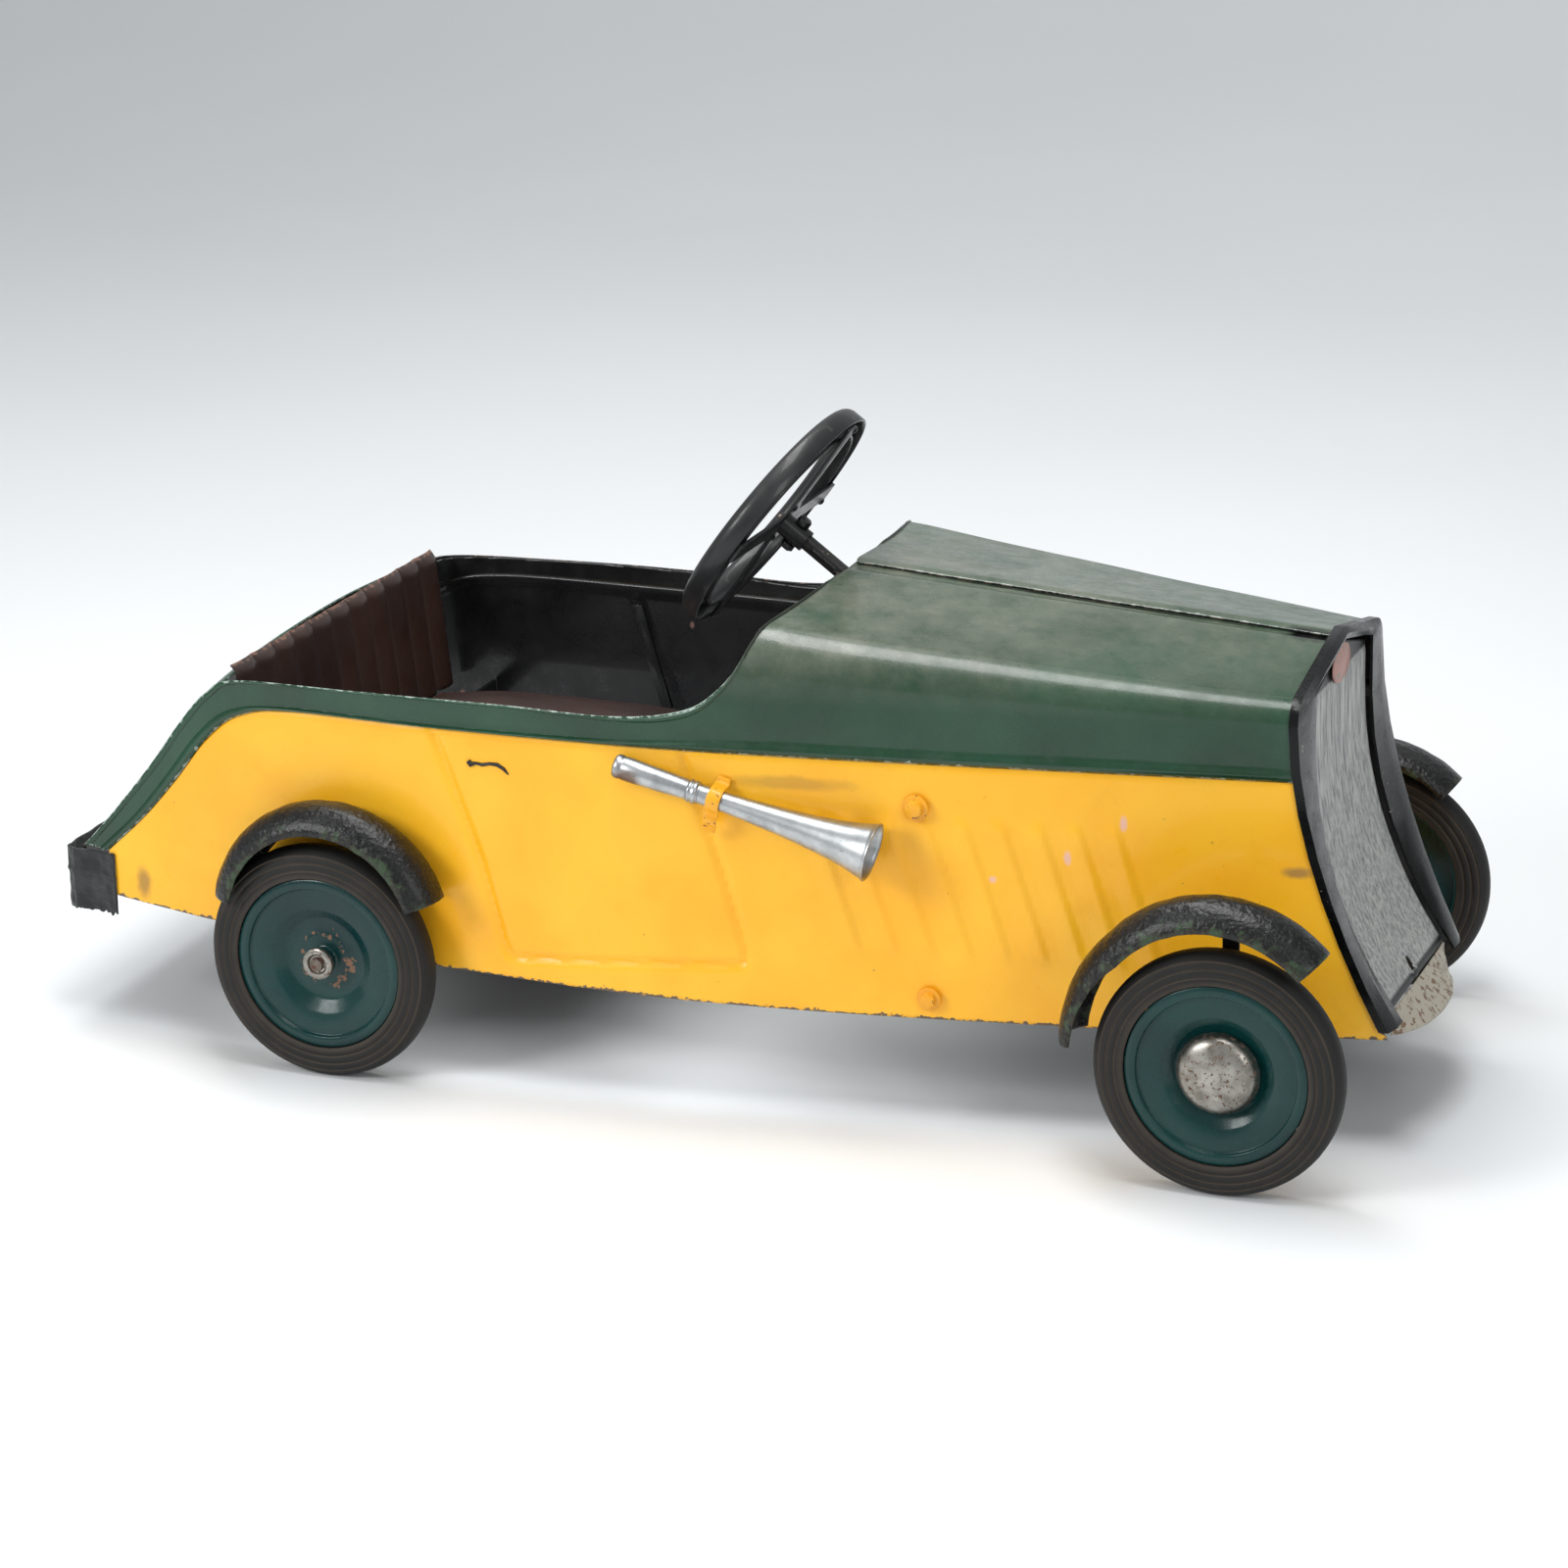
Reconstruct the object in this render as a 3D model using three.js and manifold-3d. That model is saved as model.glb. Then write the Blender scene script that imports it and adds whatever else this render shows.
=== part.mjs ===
// A child's pressed-steel pedal car, in millimetres.
// +X is forward, +Y is the car's left and +Z is up. While it is built, x = 0 is the rear axle and z = 0
// is the floor; the last lines move the origin to the middle of the floor under the whole car.

import * as THREE from 'three';
import { mergeVertices } from 'three/addons/utils/BufferGeometryUtils.js';
import Module from 'manifold-3d';

const wasm = await Module();
wasm.setup();

// ---------------------------------------------------------------- driving dimensions

const wheelbase = 689;
const halfTrack = 215;
const wheelDiameter = 180;
const rimDiameter = 132;
const tyreWidth = 24;
const axleDiameter = 10;

const bodyHalfWidth = 193;
const noseTaper = 0.17;
const taperStart = 260;
const taperBlend = 100;
const tailRounding = 0.00024;
const tailRoundingStart = 100;
const sheet = 1.2;
const beltHeight = 271;
const rimHeight = 293;
const skirtHeight = 79;
const skirtRise = 14;
const tailEnd = -230;
const tailTop = 140;

const cowlX = 347;
const cowlHeight = 373;
const bonnetFall = 0.0645;
const roofSlope = 5;
const noseSlope = 11.5;
const cowlShoulder = 34;
const noseShoulder = 18;
const seamLap = 9;

const noseX = wheelbase + 21;
const noseSweep = 64;
const noseSweepTop = 310;
const noseSweepHeight = 215;
const grilleHalfWidth = bodyHalfWidth - 114;
const grilleForward = 4;

const steeringRake = 36.5;
const steeringWheelX = 278;
const steeringWheelZ = 401;
const steeringWheelDiameter = 194;
const columnDiameter = 12;
const steeringArm = 40;
const kingpinY = 170;
const kingpinDiameter = 8;
const beamHeight = 79;

const crankThrow = 32;
const crankY = bodyHalfWidth - 114;
const pedalPivotX = 448;
const columnFall = (pedalPivotX - steeringWheelX) * Math.tan((steeringRake * Math.PI) / 180);
const pedalPivotZ = steeringWheelZ - columnFall - 36.2;
const pedalPinZ = 120;
const pedalArmY = bodyHalfWidth - 107;
const footBoltX = 457;
const footBoltZ = 95;
const boltRadius = 4;

const gap = 0.3;
const runningFit = 0.1;
const hingeFit = 0.2;

// ---------------------------------------------------------------- finishes

function finish(color, roughness, metalness) {
  return () => new THREE.MeshStandardMaterial({ color, roughness, metalness });
}

const yellowPaint = finish(0xf9b62c, 0.35, 0);
const greenPaint = finish(0x1f4a38, 0.35, 0);
const blackPaint = finish(0x17181a, 0.45, 0);
const wheelPaint = finish(0x103a3c, 0.3, 0);
const brownPaint = finish(0x3a2119, 0.5, 0);
const silverPaint = finish(0x8c8d89, 0.5, 0.3);
const rustyChrome = finish(0xa7a39a, 0.35, 0.9);
const bareSteel = finish(0x6d6660, 0.55, 0.8);
const aluminium = finish(0xc0c4c6, 0.4, 0.9);
const rubber = finish(0x33312e, 0.8, 0);
const clothTape = finish(0x1d1f1f, 0.85, 0);
const faintRed = finish(0xb0776c, 0.7, 0);
const primerGrey = finish(0x9a8f80, 0.7, 0.1);

// ---------------------------------------------------------------- solids

const car = new THREE.Group();

function signedVolume(geometry) {
  const p = geometry.getAttribute('position');
  const index = geometry.getIndex();
  const a = new THREE.Vector3();
  const b = new THREE.Vector3();
  const c = new THREE.Vector3();
  let sum = 0;
  for (let i = 0; i < index.count; i += 3) {
    a.fromBufferAttribute(p, index.getX(i));
    b.fromBufferAttribute(p, index.getX(i + 1));
    c.fromBufferAttribute(p, index.getX(i + 2));
    sum += a.dot(b.cross(c)) / 6;
  }
  return sum;
}

// Merges shared corners and turns every face outwards.
function closed(geometry) {
  const bare = geometry.clone();
  bare.deleteAttribute('normal');
  bare.deleteAttribute('uv');
  const merged = mergeVertices(bare, 1e-4);
  if (signedVolume(merged) < 0) {
    const index = merged.getIndex().array;
    for (let i = 0; i < index.length; i += 3) {
      [index[i], index[i + 1]] = [index[i + 1], index[i]];
    }
  }
  return merged;
}

function toManifold(geometry) {
  const solid = closed(geometry);
  const mesh = new wasm.Mesh({
    numProp: 3,
    vertProperties: new Float32Array(solid.getAttribute('position').array),
    triVerts: new Uint32Array(solid.getIndex().array),
  });
  return new wasm.Manifold(mesh);
}

function fromManifold(solid) {
  const mesh = solid.getMesh();
  const geometry = new THREE.BufferGeometry();
  geometry.setAttribute('position', new THREE.BufferAttribute(new Float32Array(mesh.vertProperties), 3));
  geometry.setIndex(Array.from(mesh.triVerts));
  return geometry;
}

function join(...parts) {
  return fromManifold(parts.map(toManifold).reduce((whole, next) => whole.add(next)));
}

function cut(body, ...tools) {
  const cutters = tools.map(toManifold);
  return fromManifold(cutters.reduce((whole, next) => whole.subtract(next), toManifold(body)));
}

function add(name, geometry, material, parent = car) {
  const shape = closed(geometry);
  const flat = shape.toNonIndexed();
  flat.computeVertexNormals();
  const mesh = new THREE.Mesh(flat, material());
  mesh.name = name;
  parent.add(mesh);
  return mesh;
}

// A closed sheet between two faces, each a function of u and v from 0 to 1.
function sheetBetween(outer, inner, uSteps, vSteps) {
  const points = [];
  for (const face of [outer, inner]) {
    for (let i = 0; i <= uSteps; i += 1) {
      for (let j = 0; j <= vSteps; j += 1) {
        points.push(...face(i / uSteps, j / vSteps));
      }
    }
  }
  const stride = vSteps + 1;
  const layer = (uSteps + 1) * stride;
  const at = (k, i, j) => k * layer + i * stride + j;
  const index = [];
  const quad = (a, b, c, d) => index.push(a, b, c, a, c, d);
  for (let i = 0; i < uSteps; i += 1) {
    for (let j = 0; j < vSteps; j += 1) {
      quad(at(0, i, j), at(0, i + 1, j), at(0, i + 1, j + 1), at(0, i, j + 1));
      quad(at(1, i, j), at(1, i, j + 1), at(1, i + 1, j + 1), at(1, i + 1, j));
    }
    quad(at(0, i, 0), at(1, i, 0), at(1, i + 1, 0), at(0, i + 1, 0));
    quad(at(0, i, vSteps), at(0, i + 1, vSteps), at(1, i + 1, vSteps), at(1, i, vSteps));
  }
  for (let j = 0; j < vSteps; j += 1) {
    quad(at(0, 0, j), at(0, 0, j + 1), at(1, 0, j + 1), at(1, 0, j));
    quad(at(0, uSteps, j), at(1, uSteps, j), at(1, uSteps, j + 1), at(0, uSteps, j + 1));
  }
  const geometry = new THREE.BufferGeometry();
  geometry.setAttribute('position', new THREE.Float32BufferAttribute(points, 3));
  geometry.setIndex(index);
  return geometry;
}

function box(width, depth, height, x, y, z) {
  return new THREE.BoxGeometry(width, depth, height).translate(x, y, z);
}

// A round bar between two points.
function bar(from, to, radius, sides = 12) {
  const start = new THREE.Vector3(...from);
  const way = new THREE.Vector3(...to).sub(start);
  const geometry = new THREE.CylinderGeometry(radius, radius, way.length(), sides);
  const upright = new THREE.Vector3(0, 1, 0);
  const turn = new THREE.Quaternion().setFromUnitVectors(upright, way.clone().normalize());
  return geometry.applyQuaternion(turn).translate(...start.addScaledVector(way, 0.5).toArray());
}

// A round hole's cutter, whose flats keep the true radius.
function bore(from, to, radius, sides = 12) {
  return bar(from, to, radius / Math.cos(Math.PI / sides), sides);
}

// A turned piece about the Y axis; each profile point is [radius, distance along the axis].
function turned(profile, sides) {
  const points = profile.map(([radius, along]) => new THREE.Vector2(radius, along));
  points.push(points[0].clone());
  return new THREE.LatheGeometry(points, sides);
}

function flatPlate(outline, thickness, holes = []) {
  const shape = new THREE.Shape(outline.map(([x, y]) => new THREE.Vector2(x, y)));
  for (const [x, y, radius] of holes) {
    shape.holes.push(new THREE.Path().absarc(x, y, radius, 0, 2 * Math.PI, true));
  }
  return new THREE.ExtrudeGeometry(shape, { depth: thickness, bevelEnabled: false, curveSegments: 8 });
}

// An upright plate in the X-Z plane, from y to y + thickness.
function sidePlate(outline, y, thickness, holes = []) {
  return flatPlate(outline, thickness, holes).rotateX(Math.PI / 2).translate(0, y + thickness, 0);
}

function degrees(angle) {
  return THREE.MathUtils.degToRad(angle);
}

const sides = [['right', -1], ['left', 1]];

// ---------------------------------------------------------------- the body's skin

function halfWidth(x) {
  const tail = Math.max(0, tailRoundingStart - x);
  const nose = x - taperStart;
  const taper = (nose + Math.sqrt(nose * nose + taperBlend * taperBlend)) / 2;
  return bodyHalfWidth - tailRounding * tail * tail - noseTaper * taper;
}

function seamHeight(x) {
  return cowlHeight - bonnetFall * (x - cowlX);
}

// One half section of the body: straight up the side, round the shoulder, and up the roof to the seam.
function section(x) {
  const w = halfWidth(x);
  const along = Math.min(1, Math.max(-0.2, (x - cowlX) / (noseX - cowlX)));
  const slope = degrees(roofSlope + (noseSlope - roofSlope) * Math.max(0, along));
  const radius = cowlShoulder + (noseShoulder - cowlShoulder) * along;
  const corner = seamHeight(x) - w * Math.tan(slope);
  const tangent = radius * Math.tan((Math.PI / 2 - slope) / 2);
  const sideEnd = corner - tangent;
  const roofStart = sideEnd + radius * (Math.PI / 2 - slope);
  const roofEnd = roofStart + w / Math.cos(slope) - tangent;
  return { w, slope, radius, sideEnd, roofStart, roofEnd };
}

// The point on the left half at x and a distance h along the section from the floor, moved out by
// offset. Past the seam the sheet runs on down the other half's roof.
function skin(x, h, offset = 0) {
  const s = section(x);
  if (h <= s.sideEnd) {
    return [x, s.w + offset, h];
  }
  if (h <= s.roofStart) {
    const angle = (h - s.sideEnd) / s.radius;
    const reach = s.radius + offset;
    return [x, s.w - s.radius + reach * Math.cos(angle), s.sideEnd + reach * Math.sin(angle)];
  }
  const left = s.roofEnd - h;
  const y = left * Math.cos(s.slope);
  const z = seamHeight(x) - Math.abs(left) * Math.sin(s.slope);
  const side = Math.sign(left);
  return [x, y + side * offset * Math.sin(s.slope), z + offset * Math.cos(s.slope)];
}

// A piece of sheet that follows the skin between two paths of [x, h] points; outer and inner say how
// far each face stands off the skin. A sheet that runs to the nose ends along its swept edge.
function skinSheet(low, high, outer, inner, uSteps, vSteps, vList = null, toNose = false) {
  const path = (points) => new THREE.SplineCurve(points.map(([x, h]) => new THREE.Vector2(x, h)));
  const lowPath = path(low);
  const highPath = path(high);
  const face = (offset) => (u, v) => {
    const share = vList ? vList[Math.round(v * vSteps)] : v;
    const a = lowPath.getPoint(u);
    const b = highPath.getPoint(u);
    const h = a.y + (b.y - a.y) * share;
    const end = low.at(-1)[0] + (high.at(-1)[0] - low.at(-1)[0]) * share;
    const bend = toNose ? (noseEdge(h) - end) * u ** 8 : 0;
    return skin(a.x + (b.x - a.x) * share + bend, h, offset(u, share));
  };
  return sheetBetween(face(outer), face(inner), uSteps, vSteps);
}

function sided(geometry, side) {
  return side > 0 ? geometry : geometry.clone().scale(1, -1, 1);
}

function noseEdge(z) {
  const drop = Math.max(0, noseSweepTop - z) / noseSweepHeight;
  return noseX + noseSweep * drop ** 1.7;
}

function skirt(x) {
  const along = (x - wheelbase / 2 - 80) / (wheelbase / 2 + 130);
  return skirtHeight + skirtRise * along * along * (along < 0 ? 1 : 0.6);
}

// The line where the green sheet laps over the yellow side, from the foot of the tail to the nose,
// and the green sheet's free edge: tail, cockpit rim, cowl and bonnet seam.
const beltPath = [
  [-203, 139], [-167, 172], [-136, 206], [-106, 242], [-76, 263], [-29, beltHeight],
  ...[90, 190, 250, 285, 303, 315, 326, 336, 342, 350, 368, 440, 530, 618].map((x) => [x, beltHeight]),
  [noseEdge(beltHeight), beltHeight],
];
const tailPath = [
  [-226, tailTop], [-194, 174], [-160, 213], [-131, 250], [-106, 277], [-78, 290],
  [20, rimHeight], [140, rimHeight + 1], [225, rimHeight], [275, 300], [302, 315],
];

function cowlEdge(x, y) {
  const s = section(x);
  return [x, s.roofEnd - y / Math.cos(s.slope)];
}

function seamEdge(x, lap) {
  return [x, section(x).roofEnd + lap];
}

function freeEdge(lap) {
  return [
    ...tailPath,
    [324, section(324).sideEnd + 0.35 * (section(324).roofStart - section(324).sideEnd)],
    cowlEdge(337, 118),
    cowlEdge(344, 50),
    cowlEdge(346, 12),
    ...[cowlX + 2, 366, 440, 530, 618, noseX].map((x) => seamEdge(x, lap)),
  ];
}

const beltLap = 8;
const beadHeight = 2.2;

// The upper sheet: tail band, cockpit rim, cowl and half of the bonnet, with a bead along its lower
// edge. The right half dips under the left one along the bonnet seam.
function upperPanel(side) {
  const lap = side > 0 ? seamLap : -1.4;
  const rows = [0, 0.04, 0.1, 0.21, 0.29, 0.36, 0.43, 0.92, side > 0 ? 0.958 : 0.94, 1];
  const bead = (u, v) => (v > 0.01 && v < 0.09 && u < 0.98 ? beadHeight : 0);
  const dips = (u, v) => (side < 0 && v > 0.93 && u > 0.68 ? sheet + 2 * gap : 0);
  const outer = (u, v) => bead(u, v) - dips(u, v);
  const inner = (u, v) => outer(u, v) - sheet;
  return sided(skinSheet(beltPath, freeEdge(lap), outer, inner, 32, rows.length - 1, rows, true), side);
}

// The lower side sheet, from the skirt up to a joggled edge behind the upper sheet.
function sidePanel(side) {
  const last = beltPath.length - 1;
  const low = beltPath.map(([x], i) => {
    const foot = i === last ? noseEdge(skirtHeight + 9) : tailEnd + 4 + (x + 205) * 1.045;
    return [foot, skirt(foot)];
  });
  const rows = [0, 0.33, 0.66, 0.93, 0.962, 1];
  const reach = (beltHeight + beltLap - skirtHeight) / (beltHeight - skirtHeight);
  const high = beltPath.map(([x, h], i) => {
    const [footX, footH] = low[i];
    return [footX + (x - footX) * reach, footH + (h - footH) * reach];
  });
  const joggle = (v) => (v > 0.95 ? sheet + 3 * gap : 0);
  const outer = (u, v) => -joggle(v);
  const inner = (u, v) => -joggle(v) - sheet;
  const panel = skinSheet(low, high, outer, inner, 26, rows.length - 1, rows, true);
  const axleZ = wheelDiameter / 2;
  const axleHole = bore([0, halfWidth(0) - 40, axleZ], [0, halfWidth(0) + 40, axleZ], axleDiameter);
  const boltHole = (x, z) => bar([x, halfWidth(x) - 20, z], [x, halfWidth(x) + 20, z], boltRadius + gap);
  const rodHole = boltHole(pedalPivotX, pedalPivotZ);
  const footHole = boltHole(footBoltX, footBoltZ);
  return sided(cut(panel, axleHole, rodHole, footHole), side);
}

// A flat strap lying against the inside of the skin.
function innerStrap(low, high, thickness) {
  const outer = () => -(sheet + 2 * gap) - sheet;
  const inner = () => -(sheet + 2 * gap) - sheet - thickness;
  return skinSheet(low, high, outer, inner, 2, 3);
}

for (const [name, side] of sides) {
  add(`side_panel_${name}`, sidePanel(side), yellowPaint);
  add(`upper_panel_${name}`, upperPanel(side), greenPaint);
  const strapWidth = 9;
  const strapFoot = [[106, 178], [106 + strapWidth, 178]];
  const strapHead = [[82, 262], [82 + strapWidth, 262]];
  const strap = innerStrap(strapFoot, strapHead, 2.5);
  add(`door_strap_${name}`, sided(strap, side), blackPaint);
}

// ---------------------------------------------------------------- tail

// The rear deck closes the back of the body, from behind the seat down to the foot of the tail.
const deckCrown = 10;
const deckPath = new THREE.SplineCurve(
  [...tailPath.slice(0, 5), [-90, 286]].map(([x, h]) => new THREE.Vector2(x, h)),
);
const deckFoot = 100;

function deckLine(u) {
  const turn = 0.25;
  if (u < turn) {
    return new THREE.Vector2(tailEnd + 2, deckFoot + (tailTop - deckFoot) * (u / turn));
  }
  return deckPath.getPoint((u - turn) / (1 - turn));
}

function deckPoint(depth) {
  return (u, v) => {
    const here = deckLine(u);
    const before = deckLine(Math.max(0, u - 0.01));
    const after = deckLine(Math.min(1, u + 0.01));
    const way = after.sub(before).normalize();
    const across = 2 * v - 1;
    const bulge = deckCrown * (1 - across * across) - depth;
    const y = across * (halfWidth(here.x) - sheet - gap);
    return [here.x - way.y * bulge, y, here.y + way.x * bulge];
  };
}

add('rear_deck', sheetBetween(deckPoint(0), deckPoint(sheet), 10, 6), greenPaint);

// The bumper strip wraps both corners at the foot of the tail.
const bumperTop = 137;
const bumperFoot = 87;
const bumperLap = 32;
const bumperThick = 2;

function bumperPlan(offset) {
  const stand = sheet + gap + offset;
  const back = tailEnd - deckCrown - stand;
  const corner = halfWidth(tailEnd) + 3 * gap + offset;
  const front = tailEnd + bumperLap;
  const side = halfWidth(front) + 3 * gap + offset;
  const plan = new THREE.CurvePath();
  const v = (x, y) => new THREE.Vector2(x, y);
  const line = (from, to) => plan.add(new THREE.LineCurve(v(...from), v(...to)));
  const bend = (from, by, to) => plan.add(new THREE.QuadraticBezierCurve(v(...from), v(...by), v(...to)));
  const round = 14 + offset;
  line([front, -side], [back + round, -corner]);
  bend([back + round, -corner], [back, -corner], [back, -corner + round]);
  line([back, -corner + round], [back, 0]);
  line([back, 0], [back, corner - round]);
  bend([back, corner - round], [back, corner], [back + round, corner]);
  line([back + round, corner], [front, side]);
  return plan.curves;
}

function bumperPoint(offset) {
  const curves = bumperPlan(offset);
  return (u, v) => {
    const steps = u * curves.length;
    const k = Math.min(curves.length - 1, Math.floor(steps + 1e-9));
    const p = curves[k].getPoint(steps - k);
    return [p.x, p.y, bumperFoot + (bumperTop - bumperFoot) * v];
  };
}

add('rear_bumper', sheetBetween(bumperPoint(bumperThick), bumperPoint(0), 18, 2), clothTape);

// ---------------------------------------------------------------- radiator

const bandRear = 2.5;
const bandLift = sheet + gap;
const grilleFoot = 95;
const grilleShoulder = 321;
const grilleRise = 22;

function grilleEdge(z) {
  const drop = Math.max(0, noseSweepTop - 8 - z) / (noseSweepHeight - 8);
  return noseX + grilleForward + noseSweep * drop ** 2.25;
}

// The surround runs up one side of the radiator, over the top and down the other. Each of its places
// has an edge on the body, at a height h along the section, and an inner point at the grille.
const bandFoot = 90;

function spaced(from, to, steps) {
  return Array.from({ length: steps }, (_, i) => from + ((to - from) * i) / steps);
}

function surroundPlace(h, side) {
  const { sideEnd, roofEnd } = section(noseX);
  const t = Math.max(0, h - sideEnd) / (roofEnd - sideEnd);
  const edge = noseEdge(h);
  const archRise = (grilleRise + 1) * t - 5 * Math.max(0, 0.3 - t);
  const innerZ = Math.min(h, grilleShoulder) + (t > 0 ? archRise : 0);
  const innerY = grilleHalfWidth * Math.min(1, (1 - t) * 1.3);
  const lifted = (x, offset) => {
    const [, y, z] = skin(x, h, offset);
    return [x, side * y, z];
  };
  return { edge, lifted, inner: [grilleEdge(innerZ), side * innerY, innerZ] };
}

function surroundPlaces() {
  const { sideEnd, roofStart, roofEnd } = section(noseX);
  const upSide = spaced(bandFoot, sideEnd, 7);
  const roundShoulder = spaced(sideEnd, roofStart, 4);
  const heights = [...upSide, ...roundShoulder, ...spaced(roofStart, roofEnd, 3)];
  const right = heights.map((h) => surroundPlace(h, -1));
  const left = heights.map((h) => surroundPlace(h, 1)).reverse();
  return [...right, surroundPlace(roofEnd, 1), ...left];
}

function surroundFace(offset) {
  const between = (p, share, forward) => {
    const [, y, z] = p.lifted(p.edge, offset);
    const [x0, y0, z0] = p.inner;
    return [p.edge + (x0 - p.edge) * share + forward, y + (y0 - y) * share, z + (z0 - z) * share];
  };
  const rows = [
    (p) => p.lifted(p.edge - bandRear, offset),
    (p) => between(p, 0, 1.5 + offset),
    (p) => between(p, 0.5, 3 + offset),
    (p) => between(p, 1, offset),
  ];
  const places = surroundPlaces();
  return (u, v) => rows[Math.round(v * (rows.length - 1))](places[Math.round(u * (places.length - 1))]);
}

const surroundOuter = surroundFace(bandLift + sheet);
const surroundInner = surroundFace(bandLift - sheet + gap);
const surround = sheetBetween(surroundOuter, surroundInner, surroundPlaces().length - 1, 3);
add('radiator_surround', surround, blackPaint);

// The grille is one pressed sheet, flat across and hollow in profile, with a hole for the dummy crank.
const crankHoleRadius = 5;
const crankHoleZ = 104;

function grillePoint(depth) {
  return (u, v) => {
    const across = 2 * v - 1;
    const top = grilleShoulder + grilleRise * (1 - Math.abs(across));
    const z = grilleFoot + (top - grilleFoot) * u;
    return [grilleEdge(z) - 2 - depth, across * (grilleHalfWidth - gap), z];
  };
}

const crankHole = bar([750, 0, crankHoleZ], [800, 0, crankHoleZ], crankHoleRadius);
add('grille', cut(sheetBetween(grillePoint(0), grillePoint(sheet), 10, 6), crankHole), silverPaint);

// The chin apron closes the nose below the grille and comes forward to a blunt point.
const chinTip = 21;
const chinFoot = 68;

function chinPoint(depth) {
  return (u, v) => {
    const across = 2 * v - 1;
    const y = across * (grilleHalfWidth - gap);
    const z = grilleFoot - 1 + (chinFoot + 6 - grilleFoot) * u;
    const top = grilleEdge(grilleFoot);
    return [top - depth + chinTip * u * (1 - across * across), y, z];
  };
}

add('chin_apron', sheetBetween(chinPoint(0), chinPoint(sheet), 3, 8), primerGrey);

// A plain oval badge with no mark on it, low on the top of the grille.
const badgeZ = 330;
const badge = new THREE.CylinderGeometry(1, 1, 1.2, 20).scale(14, 1, 24).rotateZ(-Math.PI / 2);
add('badge', badge.rotateX(Math.PI / 2).translate(grilleEdge(badgeZ) - 0.5, 0, badgeZ - 4), faintRed);

// ---------------------------------------------------------------- seat

const seatBackX = -83;
const seatBackLean = 12;
const seatBackTop = 299;
const seatBackFoot = 188;
const pleats = 11;
const pleatDepth = 3;

function seatBackPoint(depth) {
  return (u, v) => {
    const z = seatBackFoot + (seatBackTop - seatBackFoot) * v;
    const lean = seatBackX + seatBackLean * (1 - v);
    const ridge = Math.abs(Math.sin(u * pleats * Math.PI)) * pleatDepth;
    const y = (2 * u - 1) * (halfWidth(seatBackX) - 2 * sheet - 10);
    return [lean + ridge - depth, y, z];
  };
}

add('seat_back', sheetBetween(seatBackPoint(0), seatBackPoint(2 * sheet), pleats * 3, 3), brownPaint);

// The pressed seat is crowned and stands on two cross rails.
const seatFront = 196;
const seatRear = -62;
const seatHalfWidth = 142;
const seatEdge = 192;
const seatCrown = 32;

function seatPoint(depth) {
  return (u, v) => {
    const a = 2 * u - 1;
    const b = 2 * v - 1;
    const rise = seatCrown * (1 - a ** 4) * (1 - b * b);
    const y = b * seatHalfWidth * (1 - 0.12 * a ** 4);
    return [seatRear + (seatFront - seatRear) * u, y, seatEdge + rise - depth];
  };
}

add('seat', sheetBetween(seatPoint(0), seatPoint(2 * sheet), 8, 8), brownPaint);

const railHeight = 18;
for (const [name, x] of [['rear', -40], ['front', 168]]) {
  const reach = halfWidth(x) - 4 * sheet;
  const rail = box(3, 2 * reach, railHeight, x, 0, seatEdge - 2 * sheet - 2 * gap - railHeight / 2);
  add(`seat_rail_${name}`, rail, blackPaint);
}

// ---------------------------------------------------------------- wheels

const wheelRadius = wheelDiameter / 2;
const rimRadius = rimDiameter / 2;
const axleRadius = axleDiameter / 2;
const wheelSides = 24;
const hubRadius = 9;
const hubOut = 7;

// Round pieces are slightly over size at their corners, so that their flats keep the true radius, and
// a flat is at the bottom.
function wheelPiece(profile, side, n = wheelSides) {
  const grow = 1 / Math.cos(Math.PI / n);
  const round = turned(profile.map(([r, a]) => [r * grow, side * a]), n);
  return round.rotateY(Math.PI / n);
}

function tyre(side) {
  const w = tyreWidth / 2;
  const inner = rimRadius + gap;
  const profile = [
    [inner, -w + 1], [inner, w - 1],
    [wheelRadius - 10, w], [wheelRadius - 3, w - 3], [wheelRadius, w - 7],
    [wheelRadius, 7 - w], [wheelRadius - 3, 3 - w], [wheelRadius - 10, -w],
  ];
  return wheelPiece(profile, side);
}

function wheelDisc(side, boreFit) {
  const hole = axleRadius + boreFit;
  const t = 1.6;
  const profile = [
    [rimRadius, 10], [rimRadius - 8, 10], [rimRadius - 9, 7], [40, 5], [31, -2], [hubRadius, -2],
    [hubRadius, hubOut], [hole, hubOut], [hole, -10], [hubRadius, -10], [hubRadius, -2 - t],
    [30, -2 - t], [39, 5 - t], [rimRadius - t, 10 - 2 * t], [rimRadius - t, -10], [rimRadius, -10],
  ];
  return wheelPiece(profile, side);
}

function wheelGroup(x, side) {
  const group = new THREE.Group();
  group.position.set(x, side * halfTrack, wheelRadius);
  car.add(group);
  return group;
}

const capRadius = 30;
const capHeight = 13;
const capFoot = 2;
const capSheet = 1.2;

function capProfile(side) {
  const top = capFoot + capHeight;
  return [
    [capRadius, capFoot], [capRadius - 2, capFoot + 6], [capRadius - 9, top - 2], [0, top],
    [0, top - capSheet], [capRadius - 9.5, top - 2 - capSheet], [capRadius - 3.2, capFoot + 5.5],
    [capRadius - 2.4, capFoot],
  ].map(([radius, along]) => [radius, side * along]);
}

function collarProfile(side) {
  const near = hubOut + gap;
  return [[axleRadius + gap, near], [12, near], [12, 12], [axleRadius + gap, 12]].map(
    ([radius, along]) => [radius, side * along],
  );
}

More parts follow.
